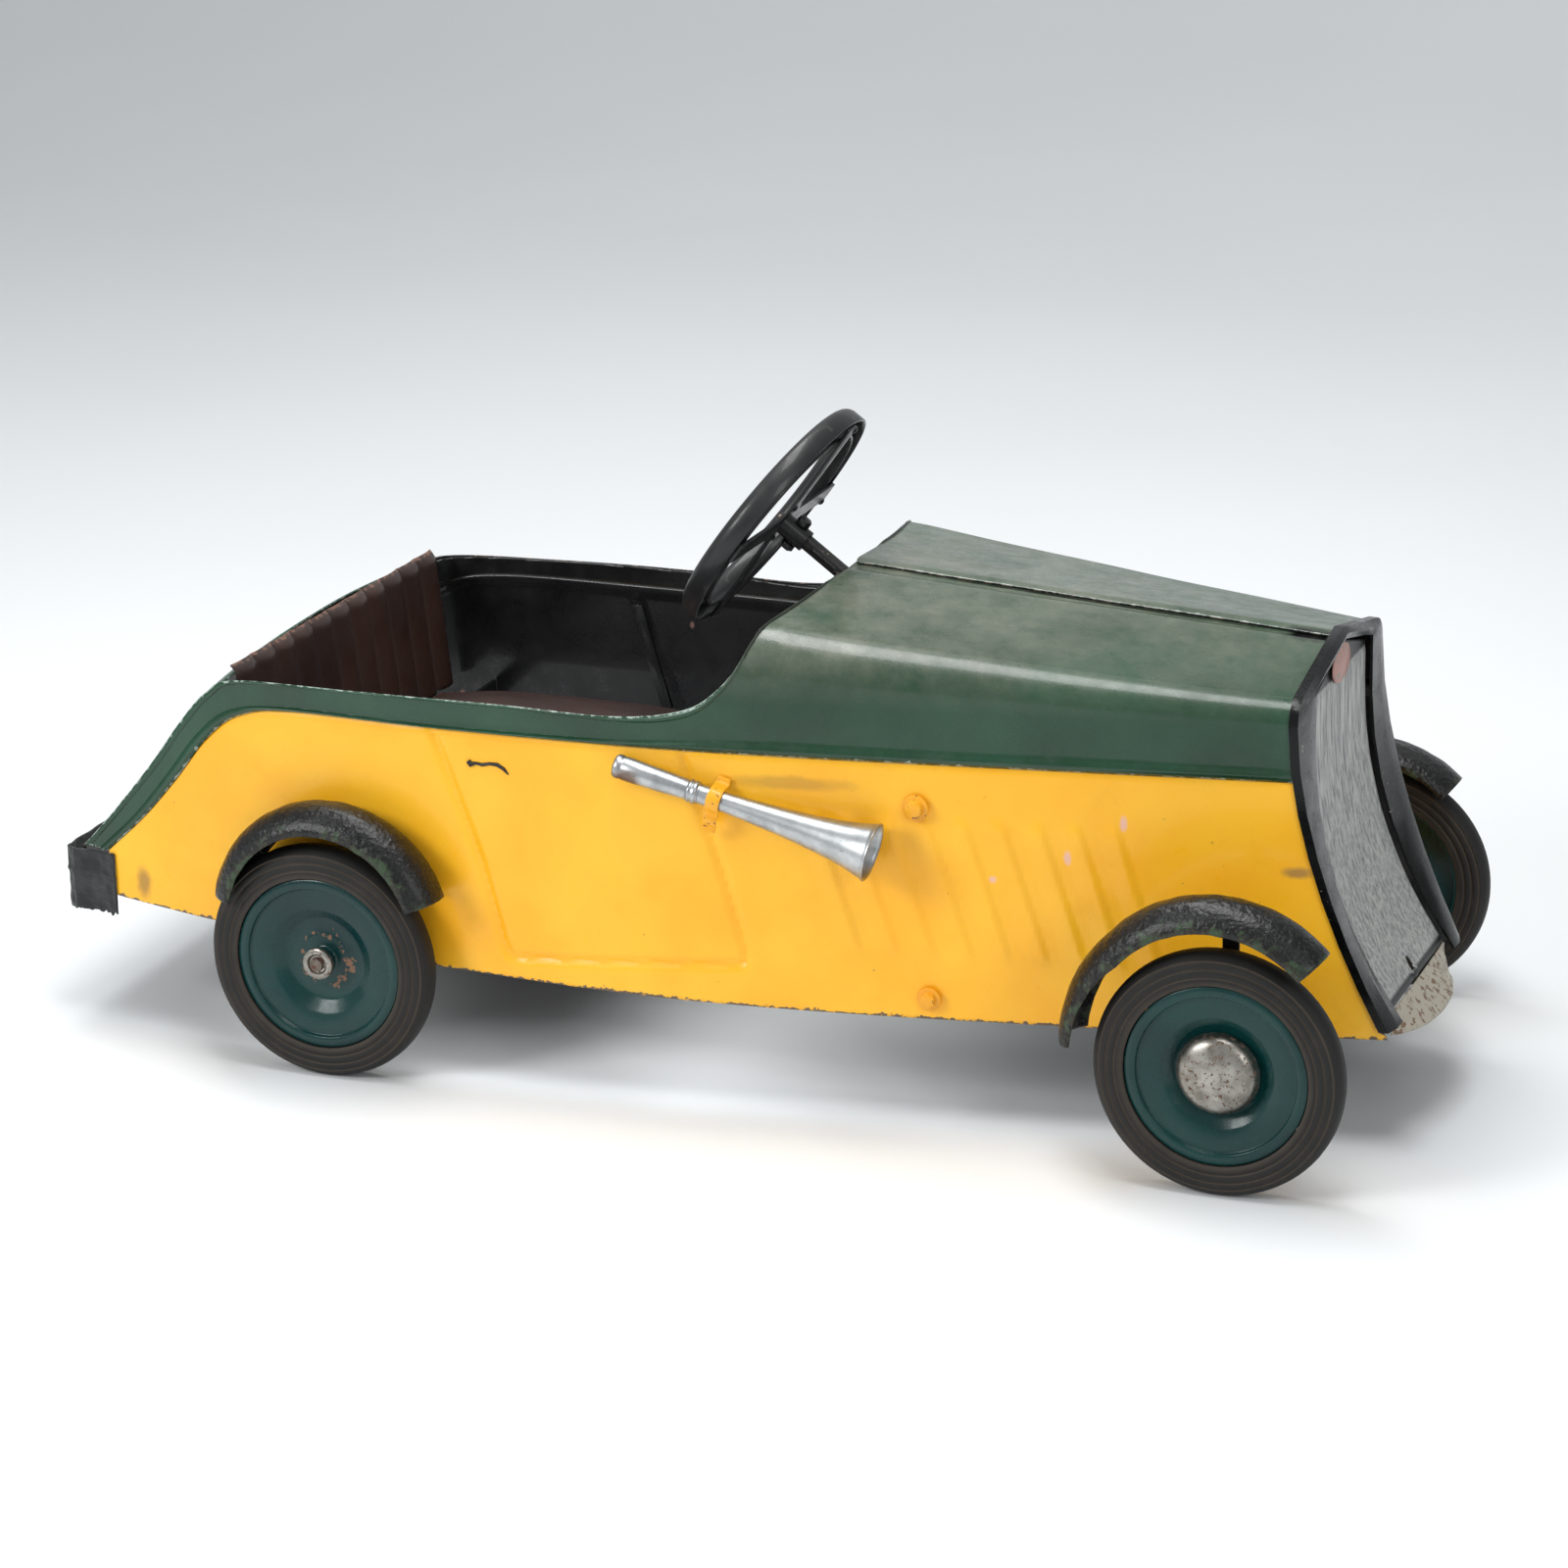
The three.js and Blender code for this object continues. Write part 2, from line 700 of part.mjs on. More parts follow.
for (const [name, side] of sides) {
  const front = wheelGroup(wheelbase, side);
  add(`front_tyre_${name}`, tyre(side), rubber, front);
  add(`front_disc_${name}`, wheelDisc(side, runningFit), wheelPaint, front);
  add(`hubcap_${name}`, turned(capProfile(side), 20), rustyChrome, front);

  const rear = wheelGroup(0, side);
  add(`rear_tyre_${name}`, tyre(side), rubber, rear);
  add(`rear_disc_${name}`, wheelDisc(side, side < 0 ? gap : runningFit), wheelPaint, rear);
  add(`axle_cap_${name}`, turned(collarProfile(side), 20), bareSteel, rear);
}

// ---------------------------------------------------------------- mudguards

// Each guard is a curved channel centred over its tyre: a crown, with both edges rolled down. The foot
// of a front one flares away from its tyre, which leaves room for the wheel to steer. The left front
// guard is bent down closer over its tyre than the right one.
const guardHalfWidth = 23.5;
const guardSheet = 1.6;
const guards = {
  front_mudguard_right: {
    x: wheelbase - 2, z: wheelRadius + 22, crown: wheelRadius + 16,
    drop: 20, footDrop: 12, flare: 7, from: 185, to: 43,
  },
  front_mudguard_left: {
    x: wheelbase - 7, z: wheelRadius + 8, crown: wheelRadius + 15,
    drop: 13, footDrop: 12, flare: 5, from: 185, to: 47,
  },
  rear_mudguard_right: {
    x: 8, z: wheelRadius + 29, crown: wheelRadius + 5,
    drop: 20, footDrop: 20, flare: 0, from: 169, to: 18,
  },
  rear_mudguard_left: {
    x: 8, z: wheelRadius + 29, crown: wheelRadius + 5,
    drop: 20, footDrop: 20, flare: 0, from: 169, to: 18,
  },
};
const flareStart = 140;

function guardPoint(guard, depth) {
  return (u, v) => {
    const angle = guard.from + (guard.to - guard.from) * u;
    const across = 2 * v - 1;
    const dome = Math.sqrt(1 - 0.96 * across * across);
    const toFoot = Math.max(0, (angle - flareStart) / (guard.from - flareStart));
    const drop = guard.drop + (guard.footDrop - guard.drop) * toFoot;
    const radius = guard.crown + guard.flare * toFoot - drop * (1 - dome) / (1 - 0.2) - depth;
    const y = across * (guardHalfWidth - depth * Math.abs(across));
    return [guard.x + radius * Math.cos(degrees(angle)), y, guard.z + radius * Math.sin(degrees(angle))];
  };
}

for (const [node, guard] of Object.entries(guards)) {
  const side = node.endsWith('right') ? -1 : 1;
  const sheetMetal = sheetBetween(guardPoint(guard, 0), guardPoint(guard, guardSheet), 12, 6);
  add(node, sheetMetal.translate(0, side * halfTrack, 0), blackPaint);
}

// ---------------------------------------------------------------- front axle and steering

const beamWidth = 16;
const beamThick = 6;
const earThick = 5;
const barrelFoot = beamHeight + gap;
const barrelTop = wheelRadius + 11;
const beamEnd = kingpinY + 10;
const beamWeb = kingpinY - 16;

const rake = degrees(steeringRake);
const columnRadius = columnDiameter / 2;
const footX = wheelbase + 1;
const footZ = steeringWheelZ - (footX - steeringWheelX) * Math.tan(rake);

// A point on the column's axis, measured from its lower bearing.
function alongColumn(distance) {
  return [footX + Math.cos(rake) * distance, 0, footZ - Math.sin(rake) * distance];
}

// The beam carries a yoke at each end, where the kingpins stand, with a stay up to the mudguard. Two
// brackets hold it to the body's sides, and a plate in the middle bears the foot of the column.
function frontBeam() {
  const pieces = [box(beamWidth, 2 * beamEnd, beamThick, wheelbase, 0, beamHeight - beamThick / 2)];
  for (const [, side] of sides) {
    const top = barrelTop + gap + earThick;
    const webZ = (top + beamHeight - 1) / 2;
    pieces.push(box(beamWidth, 5, top - beamHeight + 1, wheelbase, side * beamWeb, webZ));
    const reach = beamEnd - beamWeb + 2.5;
    const earY = side * (beamEnd - reach / 2);
    pieces.push(box(beamWidth, reach, earThick, wheelbase, earY, top - earThick / 2));
  }
  for (const [name, side] of sides) {
    const stayY = side * (halfTrack - guardHalfWidth - 2);
    const stayFoot = barrelTop + gap + earThick;
    const guard = guards[`front_mudguard_${name}`];
    const stayTop = guard.z + guard.crown - guard.drop;
    pieces.push(box(12, 2.5, stayTop - stayFoot + 2, wheelbase, stayY, (stayTop + stayFoot - 2) / 2));
    pieces.push(box(12, 11, 2.5, wheelbase, stayY - side * 5.5, stayFoot - 1.25));
    const bracket = innerStrap(
      [[wheelbase - 10, beamHeight - 2], [wheelbase + 10, beamHeight - 2]],
      [[wheelbase - 10, 128], [wheelbase + 10, 128]],
      2.5,
    );
    pieces.push(sided(bracket, side));
  }
  const holes = sides.map(([, side]) => bore(
    [wheelbase, side * kingpinY, beamHeight - 20],
    [wheelbase, side * kingpinY, barrelTop + 20],
    kingpinDiameter / 2 + gap,
  ));
  const footPlate = box(3, 30, footZ + 8 - beamHeight, footX, 0, (footZ + 4 + beamHeight) / 2);
  const bearing = bar(alongColumn(-6), alongColumn(6), 10, 20);
  const columnBore = bore(alongColumn(-40), alongColumn(40), columnRadius + runningFit);
  return cut(join(...pieces, footPlate, bearing), ...holes, columnBore);
}

add('front_axle_beam', frontBeam(), blackPaint);

const armFoot = 70;
const armThick = 4;
const pinRadius = 3;
const armX = wheelbase - steeringArm;
const tieThick = 4;
const tieTop = armFoot - gap;

function knuckle(side) {
  const y = side * kingpinY;
  const barrel = bar([wheelbase, y, barrelFoot], [wheelbase, y, barrelTop], 8);
  const outward = (reach, radius) => bar(
    [wheelbase, y + side * 5, wheelRadius],
    [wheelbase, side * reach, wheelRadius],
    radius,
  );
  const stub = outward(halfTrack + hubOut + 5, axleRadius);
  const shoulder = outward(halfTrack - 11, 8);
  const r = (distance) => wheelbase - distance;
  const arm = sidePlate([
    [r(4), 82], [r(14), 82], [r(22), armFoot], [r(steeringArm + 8), armFoot],
    [r(steeringArm + 8), armFoot + armThick], [r(26), armFoot + armThick], [r(17), 88], [r(4), 88],
  ], y - 6, 12);
  const hole = bore([wheelbase, y, 60], [wheelbase, y, 130], kingpinDiameter / 2 + hingeFit);
  const pinHole = bore([armX, y, 60], [armX, y, 90], pinRadius + hingeFit);
  return cut(join(barrel, stub, shoulder, arm), hole, pinHole);
}

for (const [name, side] of sides) {
  add(`knuckle_${name}`, knuckle(side), bareSteel);
  const upright = (from, to, radius) => bar(
    [wheelbase, side * kingpinY, from],
    [wheelbase, side * kingpinY, to],
    radius,
  );
  const pin = upright(beamHeight - beamThick - 2, barrelTop + 8, kingpinDiameter / 2);
  const head = upright(barrelTop + gap * 2 + earThick, barrelTop + 10, 7);
  add(`kingpin_${name}`, join(pin, head), bareSteel);
}

// The tie rod joins both steering arms. Its slotted lug takes the peg of the column's crank.
const lugThick = 3;
const lugTop = 92;
const slotFoot = 71;
const slotTop = 89;

function tieRod() {
  const rod = box(14, 2 * kingpinY + 14, tieThick, armX, 0, tieTop - tieThick / 2);
  const pins = sides.map(([, side]) => bar(
    [armX, side * kingpinY, tieTop - 1],
    [armX, side * kingpinY, armFoot + armThick + 4],
    pinRadius,
  ));
  const lug = box(lugThick, 20, lugTop - tieTop + 1, armX, 0, (lugTop + tieTop - 1) / 2);
  const slot = box(20, 2 * (pinRadius + gap), slotTop - slotFoot, armX, 0, (slotTop + slotFoot) / 2);
  return cut(join(rod, lug, ...pins), slot);
}

add('tie_rod', tieRod(), bareSteel);

// The steering group's +Z runs up the column to the driver; its origin is the wheel's centre.
const steering = new THREE.Group();
steering.position.set(steeringWheelX, 0, steeringWheelZ);
steering.rotation.y = -(Math.PI / 2 - rake);
car.add(steering);

const crankDepth = (armX + steeringArm * Math.sin(rake) - steeringWheelX) / Math.cos(rake);
const columnEnd = crankDepth + 30;
const crankSetBack = 16;
const socketEnd = 34;
const slotStart = 41;
const slotEnd = 64;
const slotWidth = 3.5;

function column() {
  const shaft = bar([0, 0, -6], [0, 0, -columnEnd], columnRadius);
  const armDepth = crankDepth - crankSetBack;
  const crank = bar([0, 0, -armDepth], [-steeringArm, 0, -armDepth], 4);
  const peg = bar([-steeringArm, 0, -armDepth + 4], [-steeringArm, 0, -crankDepth - 5], pinRadius);
  const tip = bar([-steeringArm, 0, -armDepth + 4], [-steeringArm, 0, -armDepth - 4], 5);
  const slot = box(slotWidth, 40, slotEnd - slotStart, 0, 0, -(slotStart + slotEnd) / 2);
  const boltHole = bore([-20, 0, -24], [20, 0, -24], 3 + gap);
  return cut(join(shaft, crank, peg, tip), slot, boltHole);
}

add('steering_column', column(), blackPaint, steering);

const rimOuter = steeringWheelDiameter / 2;
const rimWide = 17;
const rimDeep = 18;
const rimWall = 2;

// The rim is a rolled channel, round towards the driver and open at the back.
function steeringRim() {
  const mid = rimOuter - rimWide / 2;
  const arch = (radius, start, end, steps) => Array.from({ length: steps + 1 }, (_, i) => {
    const angle = degrees(start + (end - start) * (i / steps));
    return [mid + radius * Math.cos(angle), radius * Math.sin(angle)];
  });
  const outside = arch(rimWide / 2, 0, 180, 4);
  const inside = arch(rimWide / 2 - rimWall, 180, 0, 4);
  const back = -(rimDeep - rimWide / 2);
  const profile = [
    ...outside, [mid - rimWide / 2, back], [mid - rimWide / 2 + rimWall, back],
    ...inside, [mid + rimWide / 2 - rimWall, back], [mid + rimWide / 2, back],
  ];
  return turned(profile, 28).rotateX(Math.PI / 2);
}

const spokeZ = -(rimDeep - rimWide / 2) - gap - 1.25;

function spokes() {
  const reach = rimOuter - 3;
  const across = box(2 * reach, 17, 2.5, 0, 0, spokeZ);
  const along = box(17, 2 * reach, 2.5, 0, 0, spokeZ);
  const hub = bar([0, 0, spokeZ - 1.25], [0, 0, spokeZ + 1.25], 20, 24);
  const socket = bar([0, 0, spokeZ], [0, 0, -socketEnd], 8.5);
  const hole = bore([0, 0, -5], [0, 0, -60], columnRadius + gap);
  const boltHole = bore([-20, 0, -24], [20, 0, -24], 3 + gap);
  return cut(join(across, along, hub, socket), hole, boltHole);
}

add('steering_rim', steeringRim(), blackPaint, steering);
add('steering_spokes', spokes(), blackPaint, steering);

const clampBolt = join(
  bar([-14, 0, -24], [14, 0, -24], 3, 12),
  bar([8.5 + gap, 0, -24], [14, 0, -24], 5.5, 6),
  bar([-8.5 - gap, 0, -24], [-14, 0, -24], 5.5, 6),
);
add('clamp_bolt', clampBolt, blackPaint, steering);

// The upper bracket hangs from the bonnet; the lower one stands on the axle beam.
const upperBearing = 96;
const upperBracket = cut(
  join(
    box(52, 40, 3, 9, 0, -upperBearing),
    bar([0, 0, -upperBearing - 7], [0, 0, -upperBearing + 7], 10, 20),
  ),
  bore([0, 0, -upperBearing - 30], [0, 0, -upperBearing + 30], columnRadius + runningFit),
  box(40, 80, 40, 47, 0, -upperBearing),
);
add('column_bracket', upperBracket, blackPaint, steering);

// ---------------------------------------------------------------- drive

// The rear axle is one cranked shaft, with its two throws opposite each other.
const webThick = 5;
const pinHalf = 9;

function crankAxle() {
  const y1 = crankY - pinHalf;
  const y2 = crankY + pinHalf;
  const end = halfTrack + hubOut + 7;
  const pieces = [bar([0, -y1, wheelRadius], [0, y1, wheelRadius], axleRadius)];
  for (const [, side] of sides) {
    const z = wheelRadius - side * crankThrow;
    pieces.push(bar([0, side * y2, wheelRadius], [0, side * end, wheelRadius], axleRadius));
    pieces.push(bar([0, side * (y1 - webThick), z], [0, side * (y2 + webThick), z], axleRadius));
    for (const y of [y1 - webThick / 2, y2 + webThick / 2]) {
      pieces.push(box(14, webThick, crankThrow, 0, side * y, (z + wheelRadius) / 2));
      for (const eye of [z, wheelRadius]) {
        pieces.push(bar([0, side * (y - webThick / 2), eye], [0, side * (y + webThick / 2), eye], 7));
      }
    }
  }
  return join(...pieces);
}

add('rear_axle', crankAxle(), bareSteel);

const rodThick = 4;
const rodHalf = 6;
const eyeRadius = 10;

for (const [name, side] of sides) {
  // A hanger inside each side carries the rear axle.
  const half = 15;
  const hangerFoot = wheelRadius - 14;
  const hanger = innerStrap([[-half, hangerFoot], [half, hangerFoot]], [[-half, 132], [half, 132]], 3);
  const boss = bar([0, halfWidth(0) - 12, wheelRadius], [0, halfWidth(0) - 5, wheelRadius], 10, 20);
  const inboard = [0, halfWidth(0) - 40, wheelRadius];
  const outboard = [0, halfWidth(0) + 40, wheelRadius];
  const hole = bore(inboard, outboard, axleRadius + runningFit);
  add(`axle_hanger_${name}`, sided(cut(join(hanger, boss), hole), side), blackPaint);

  // A rod from each crank pin to the pedal arm.
  const z = wheelRadius - side * crankThrow;
  const reach = Math.hypot(pedalPivotX, pedalPinZ - z);
  const angle = Math.atan2(pedalPinZ - z, pedalPivotX);
  const strip = new THREE.Shape();
  strip.absarc(0, 0, eyeRadius, Math.PI / 2, (3 * Math.PI) / 2, false);
  strip.lineTo(24, -rodHalf);
  strip.lineTo(reach, -rodHalf);
  strip.absarc(reach, 0, rodHalf, -Math.PI / 2, Math.PI / 2, false);
  strip.lineTo(24, rodHalf);
  strip.holes.push(new THREE.Path().absarc(0, 0, axleRadius + hingeFit, 0, 2 * Math.PI, true));
  const flat = { depth: rodThick, bevelEnabled: false, curveSegments: 10 };
  const rod = new THREE.ExtrudeGeometry(strip, flat);
  rod.rotateX(Math.PI / 2).rotateY(-angle).translate(0, side * crankY + rodThick / 2, z);
  add(`push_rod_${name}`, rod, bareSteel);

  // A pedal arm hangs from the cross rod, with its pad outboard at the foot.
  const armFootZ = 92;
  const armT = 4;
  const armOutline = [
    [pedalPivotX - 8, armFootZ], [pedalPivotX + 8, armFootZ], [pedalPivotX + 7, pedalPivotZ + 6],
    [pedalPivotX, pedalPivotZ + 11], [pedalPivotX - 7, pedalPivotZ + 6],
  ];
  const y0 = side > 0 ? pedalArmY - armT / 2 : -pedalArmY - armT / 2;
  const arm = sidePlate(armOutline, y0, armT);
  const padSpan = 46;
  const spindle = bar(
    [pedalPivotX, side * (pedalArmY + 1), armFootZ + 9],
    [pedalPivotX, side * (pedalArmY + padSpan + 6), armFootZ + 9],
    3,
  );
  const collar = bar(
    [pedalPivotX, side * (pedalArmY - 1), pedalPivotZ],
    [pedalPivotX, side * (pedalArmY + 12), pedalPivotZ],
    8,
  );
  const rodBore = bore(
    [pedalPivotX, -200, pedalPivotZ],
    [pedalPivotX, 200, pedalPivotZ],
    boltRadius + hingeFit,
  );
  add(`pedal_arm_${name}`, cut(join(arm, spindle, collar), rodBore), bareSteel);

  const padY = side * (pedalArmY + armT / 2 + 2 + padSpan / 2);
  const pad = cut(
    box(26, padSpan, 14, pedalPivotX, padY, armFootZ + 9),
    bore([pedalPivotX, -200, armFootZ + 9], [pedalPivotX, 200, armFootZ + 9], 3 + hingeFit),
  );
  add(`pedal_pad_${name}`, pad, rubber);

  // A strap inside each side ties the cross rod to the lower bolt.
  const strapHalf = 9;
  const strap = innerStrap(
    [[footBoltX - strapHalf, footBoltZ - 9], [footBoltX + strapHalf, footBoltZ - 9]],
    [[pedalPivotX - strapHalf, pedalPivotZ + 12], [pedalPivotX + strapHalf, pedalPivotZ + 12]],
    2.5,
  );
  const strapHole = (x, z) => bar([x, halfWidth(x) - 40, z], [x, halfWidth(x) + 40, z], boltRadius + gap);
  const upperHole = strapHole(pedalPivotX, pedalPivotZ);
  const lowerHole = strapHole(footBoltX, footBoltZ);
  add(`pedal_strap_${name}`, sided(cut(strap, upperHole, lowerHole), side), blackPaint);

  // The lower bolt: a shank through strap and side, with a washer and a hexagon head outside.
  const headY = halfWidth(footBoltX) + 2.5;
  const across = (from, to, radius, n) => bar(
    [footBoltX, side * from, footBoltZ],
    [footBoltX, side * to, footBoltZ],
    radius,
    n,
  );
  const shank = across(headY - 16, headY, boltRadius, 12);
  const washer = across(headY - 0.5, headY + 1, 9, 20);
  const head = across(headY, headY + 5, 6, 6);
  add(`skirt_bolt_${name}`, join(shank, washer, head), yellowPaint);
}

// The pedals' cross rod runs from side to side, with a round head and washer outside each end.
const rodEnd = halfWidth(pedalPivotX) + 2.5;

function crossBar(from, to, radius, n) {
  return bar([pedalPivotX, from, pedalPivotZ], [pedalPivotX, to, pedalPivotZ], radius, n);
}

const rodPieces = [crossBar(-rodEnd, rodEnd, boltRadius, 16)];
for (const [, side] of sides) {
  rodPieces.push(crossBar(side * (rodEnd - 0.5), side * (rodEnd + 1), 10, 20));
  rodPieces.push(crossBar(side * rodEnd, side * (rodEnd + 5.5), 6.5, 12));
}
add('pedal_cross_rod', join(...rodPieces), yellowPaint);

// ---------------------------------------------------------------- horn

// The horn is clipped to the right side. In its own group +Y runs from mouthpiece to bell.
const hornX = 232;
const hornZ = 260;
const hornFall = 14.4;
const hornYaw = 3.6;
const hornY = -(halfWidth(hornX) + 10);
const horn = new THREE.Group();
horn.position.set(hornX, hornY, hornZ);
horn.rotation.z = degrees(hornYaw) - Math.PI / 2;
const hornTilt = new THREE.Group();
hornTilt.rotation.x = -degrees(hornFall);
horn.add(hornTilt);
car.add(horn);

const barrelLength = 66;
const barrel = turned([
  [2, 0], [7.5, 0], [8.8, 2], [8.8, 10], [8, 40], [7.4, 58], [8.4, 60], [8.4, 64],
  [7.2, barrelLength], [2, barrelLength],
], 16);
add('horn_barrel', barrel, aluminium, hornTilt);

const bellStart = barrelLength + gap;
const bellLength = 132;
const bellWall = 1;
const bellOut = [[7.2, 0], [7.2, 18], [9, 50], [11.5, 80], [15, 106], [19, 124], [21, bellLength]];
const bellProfile = [
  ...bellOut.map(([r, a]) => [r, bellStart + a]),
  ...bellOut.slice().reverse().map(([r, a]) => [r - bellWall, bellStart + a]),
];
add('horn_bell', turned(bellProfile, 20), aluminium, hornTilt);

const clipAt = bellStart + 12;
const clipInner = 7.2 + gap;
const clipHalf = 4.5;
const clipStand = 10.9;
const clip = cut(
  join(
    bar([0, clipAt - clipHalf, 0], [0, clipAt + clipHalf, 0], clipInner + 1.2, 20),
    box(1.2, 2 * clipHalf, 26, -clipStand, clipAt, -11),
    box(clipStand - clipInner, 2 * clipHalf, 1.4, -(clipStand + clipInner) / 2, clipAt, 1),
  ),
  bore([0, clipAt - 20, 0], [0, clipAt + 20, 0], clipInner, 20),
);
add('horn_clip', clip, yellowPaint, hornTilt);

// ---------------------------------------------------------------- origin

// The origin goes to the middle of the floor under the whole car.
car.updateMatrixWorld(true);
const whole = new THREE.Box3().setFromObject(car, true);
car.position.set(-(whole.min.x + whole.max.x) / 2, 0, -whole.min.z);

export default car;
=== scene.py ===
"""A child's pressed-steel pedal car of the 1930s: the looks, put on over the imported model.

Sizes are in millimetres from the rear axle's centre on the floor, +X forward, +Y left and +Z up, until
fit_piece() takes each finished piece into the model's own frame, in metres.
"""

import math

import bmesh
import bpy
from mathutils import Matrix, Vector, noise


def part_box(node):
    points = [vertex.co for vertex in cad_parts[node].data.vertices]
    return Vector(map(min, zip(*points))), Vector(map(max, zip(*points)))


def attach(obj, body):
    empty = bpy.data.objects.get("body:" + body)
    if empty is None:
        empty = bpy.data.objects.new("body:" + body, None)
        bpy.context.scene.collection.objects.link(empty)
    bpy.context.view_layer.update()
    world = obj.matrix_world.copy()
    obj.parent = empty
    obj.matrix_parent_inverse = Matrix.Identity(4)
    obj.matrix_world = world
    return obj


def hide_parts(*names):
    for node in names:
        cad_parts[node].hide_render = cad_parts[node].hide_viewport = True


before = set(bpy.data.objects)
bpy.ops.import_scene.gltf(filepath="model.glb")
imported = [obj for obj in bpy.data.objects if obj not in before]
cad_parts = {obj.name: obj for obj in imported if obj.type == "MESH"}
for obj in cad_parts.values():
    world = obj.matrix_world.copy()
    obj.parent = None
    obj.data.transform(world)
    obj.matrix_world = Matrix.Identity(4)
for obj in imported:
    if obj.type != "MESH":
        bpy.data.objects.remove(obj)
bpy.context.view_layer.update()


# ---------------------------------------------------------------- yellow sides
# Each side is one pressing of 1.2 mm steel: the tail, the door's outline and nine slanted ribs are
# stamped in it, and its top edge stands behind the green sheet. It is sprayed yellow outside and
# brushed black inside.

REAR_AXLE_X = 277.75
SHEET = 1.2
BELT = 271
CUT_FOOT, CUT_RISE = 79, 14
NOSE_X, NOSE_SWEEP = 710, 64
BODY_RUN = 930
COWL_X, COWL_HEIGHT = 347, 373


def to_linear(code):
    """The linear colour of an sRGB hex code."""
    shares = [int(code[i:i + 2], 16) / 255 for i in (0, 2, 4)]
    return [c / 12.92 if c <= 0.04045 else ((c + 0.055) / 1.055) ** 2.4 for c in shares] + [1]


def add_node(material, kind, values=None, links=None, **settings):
    """Adds one node: settings are its own, values go on its sockets, links feed them."""
    made = material.node_tree.nodes.new(kind)
    for name, value in settings.items():
        setattr(made, name, value)
    for name, value in (values or {}).items():
        made.inputs[name].default_value = value
    for name, source in (links or {}).items():
        material.node_tree.links.new(source, made.inputs[name])
    return made


def feed(material, shader, sources):
    """Joins each source to the shader's input of that name, and gives the material back."""
    for name, source in sources.items():
        material.node_tree.links.new(source, shader.inputs[name])
    return material


def start_material(name, **values):
    """A new material, its shader and the place on the piece, in metres."""
    material = bpy.data.materials.new(name)
    material.use_nodes = True
    shader = material.node_tree.nodes["Principled BSDF"]
    for socket, value in values.items():
        shader.inputs[socket.replace("_", " ")].default_value = value
    return material, shader, add_node(material, "ShaderNodeTexCoord").outputs["Object"]


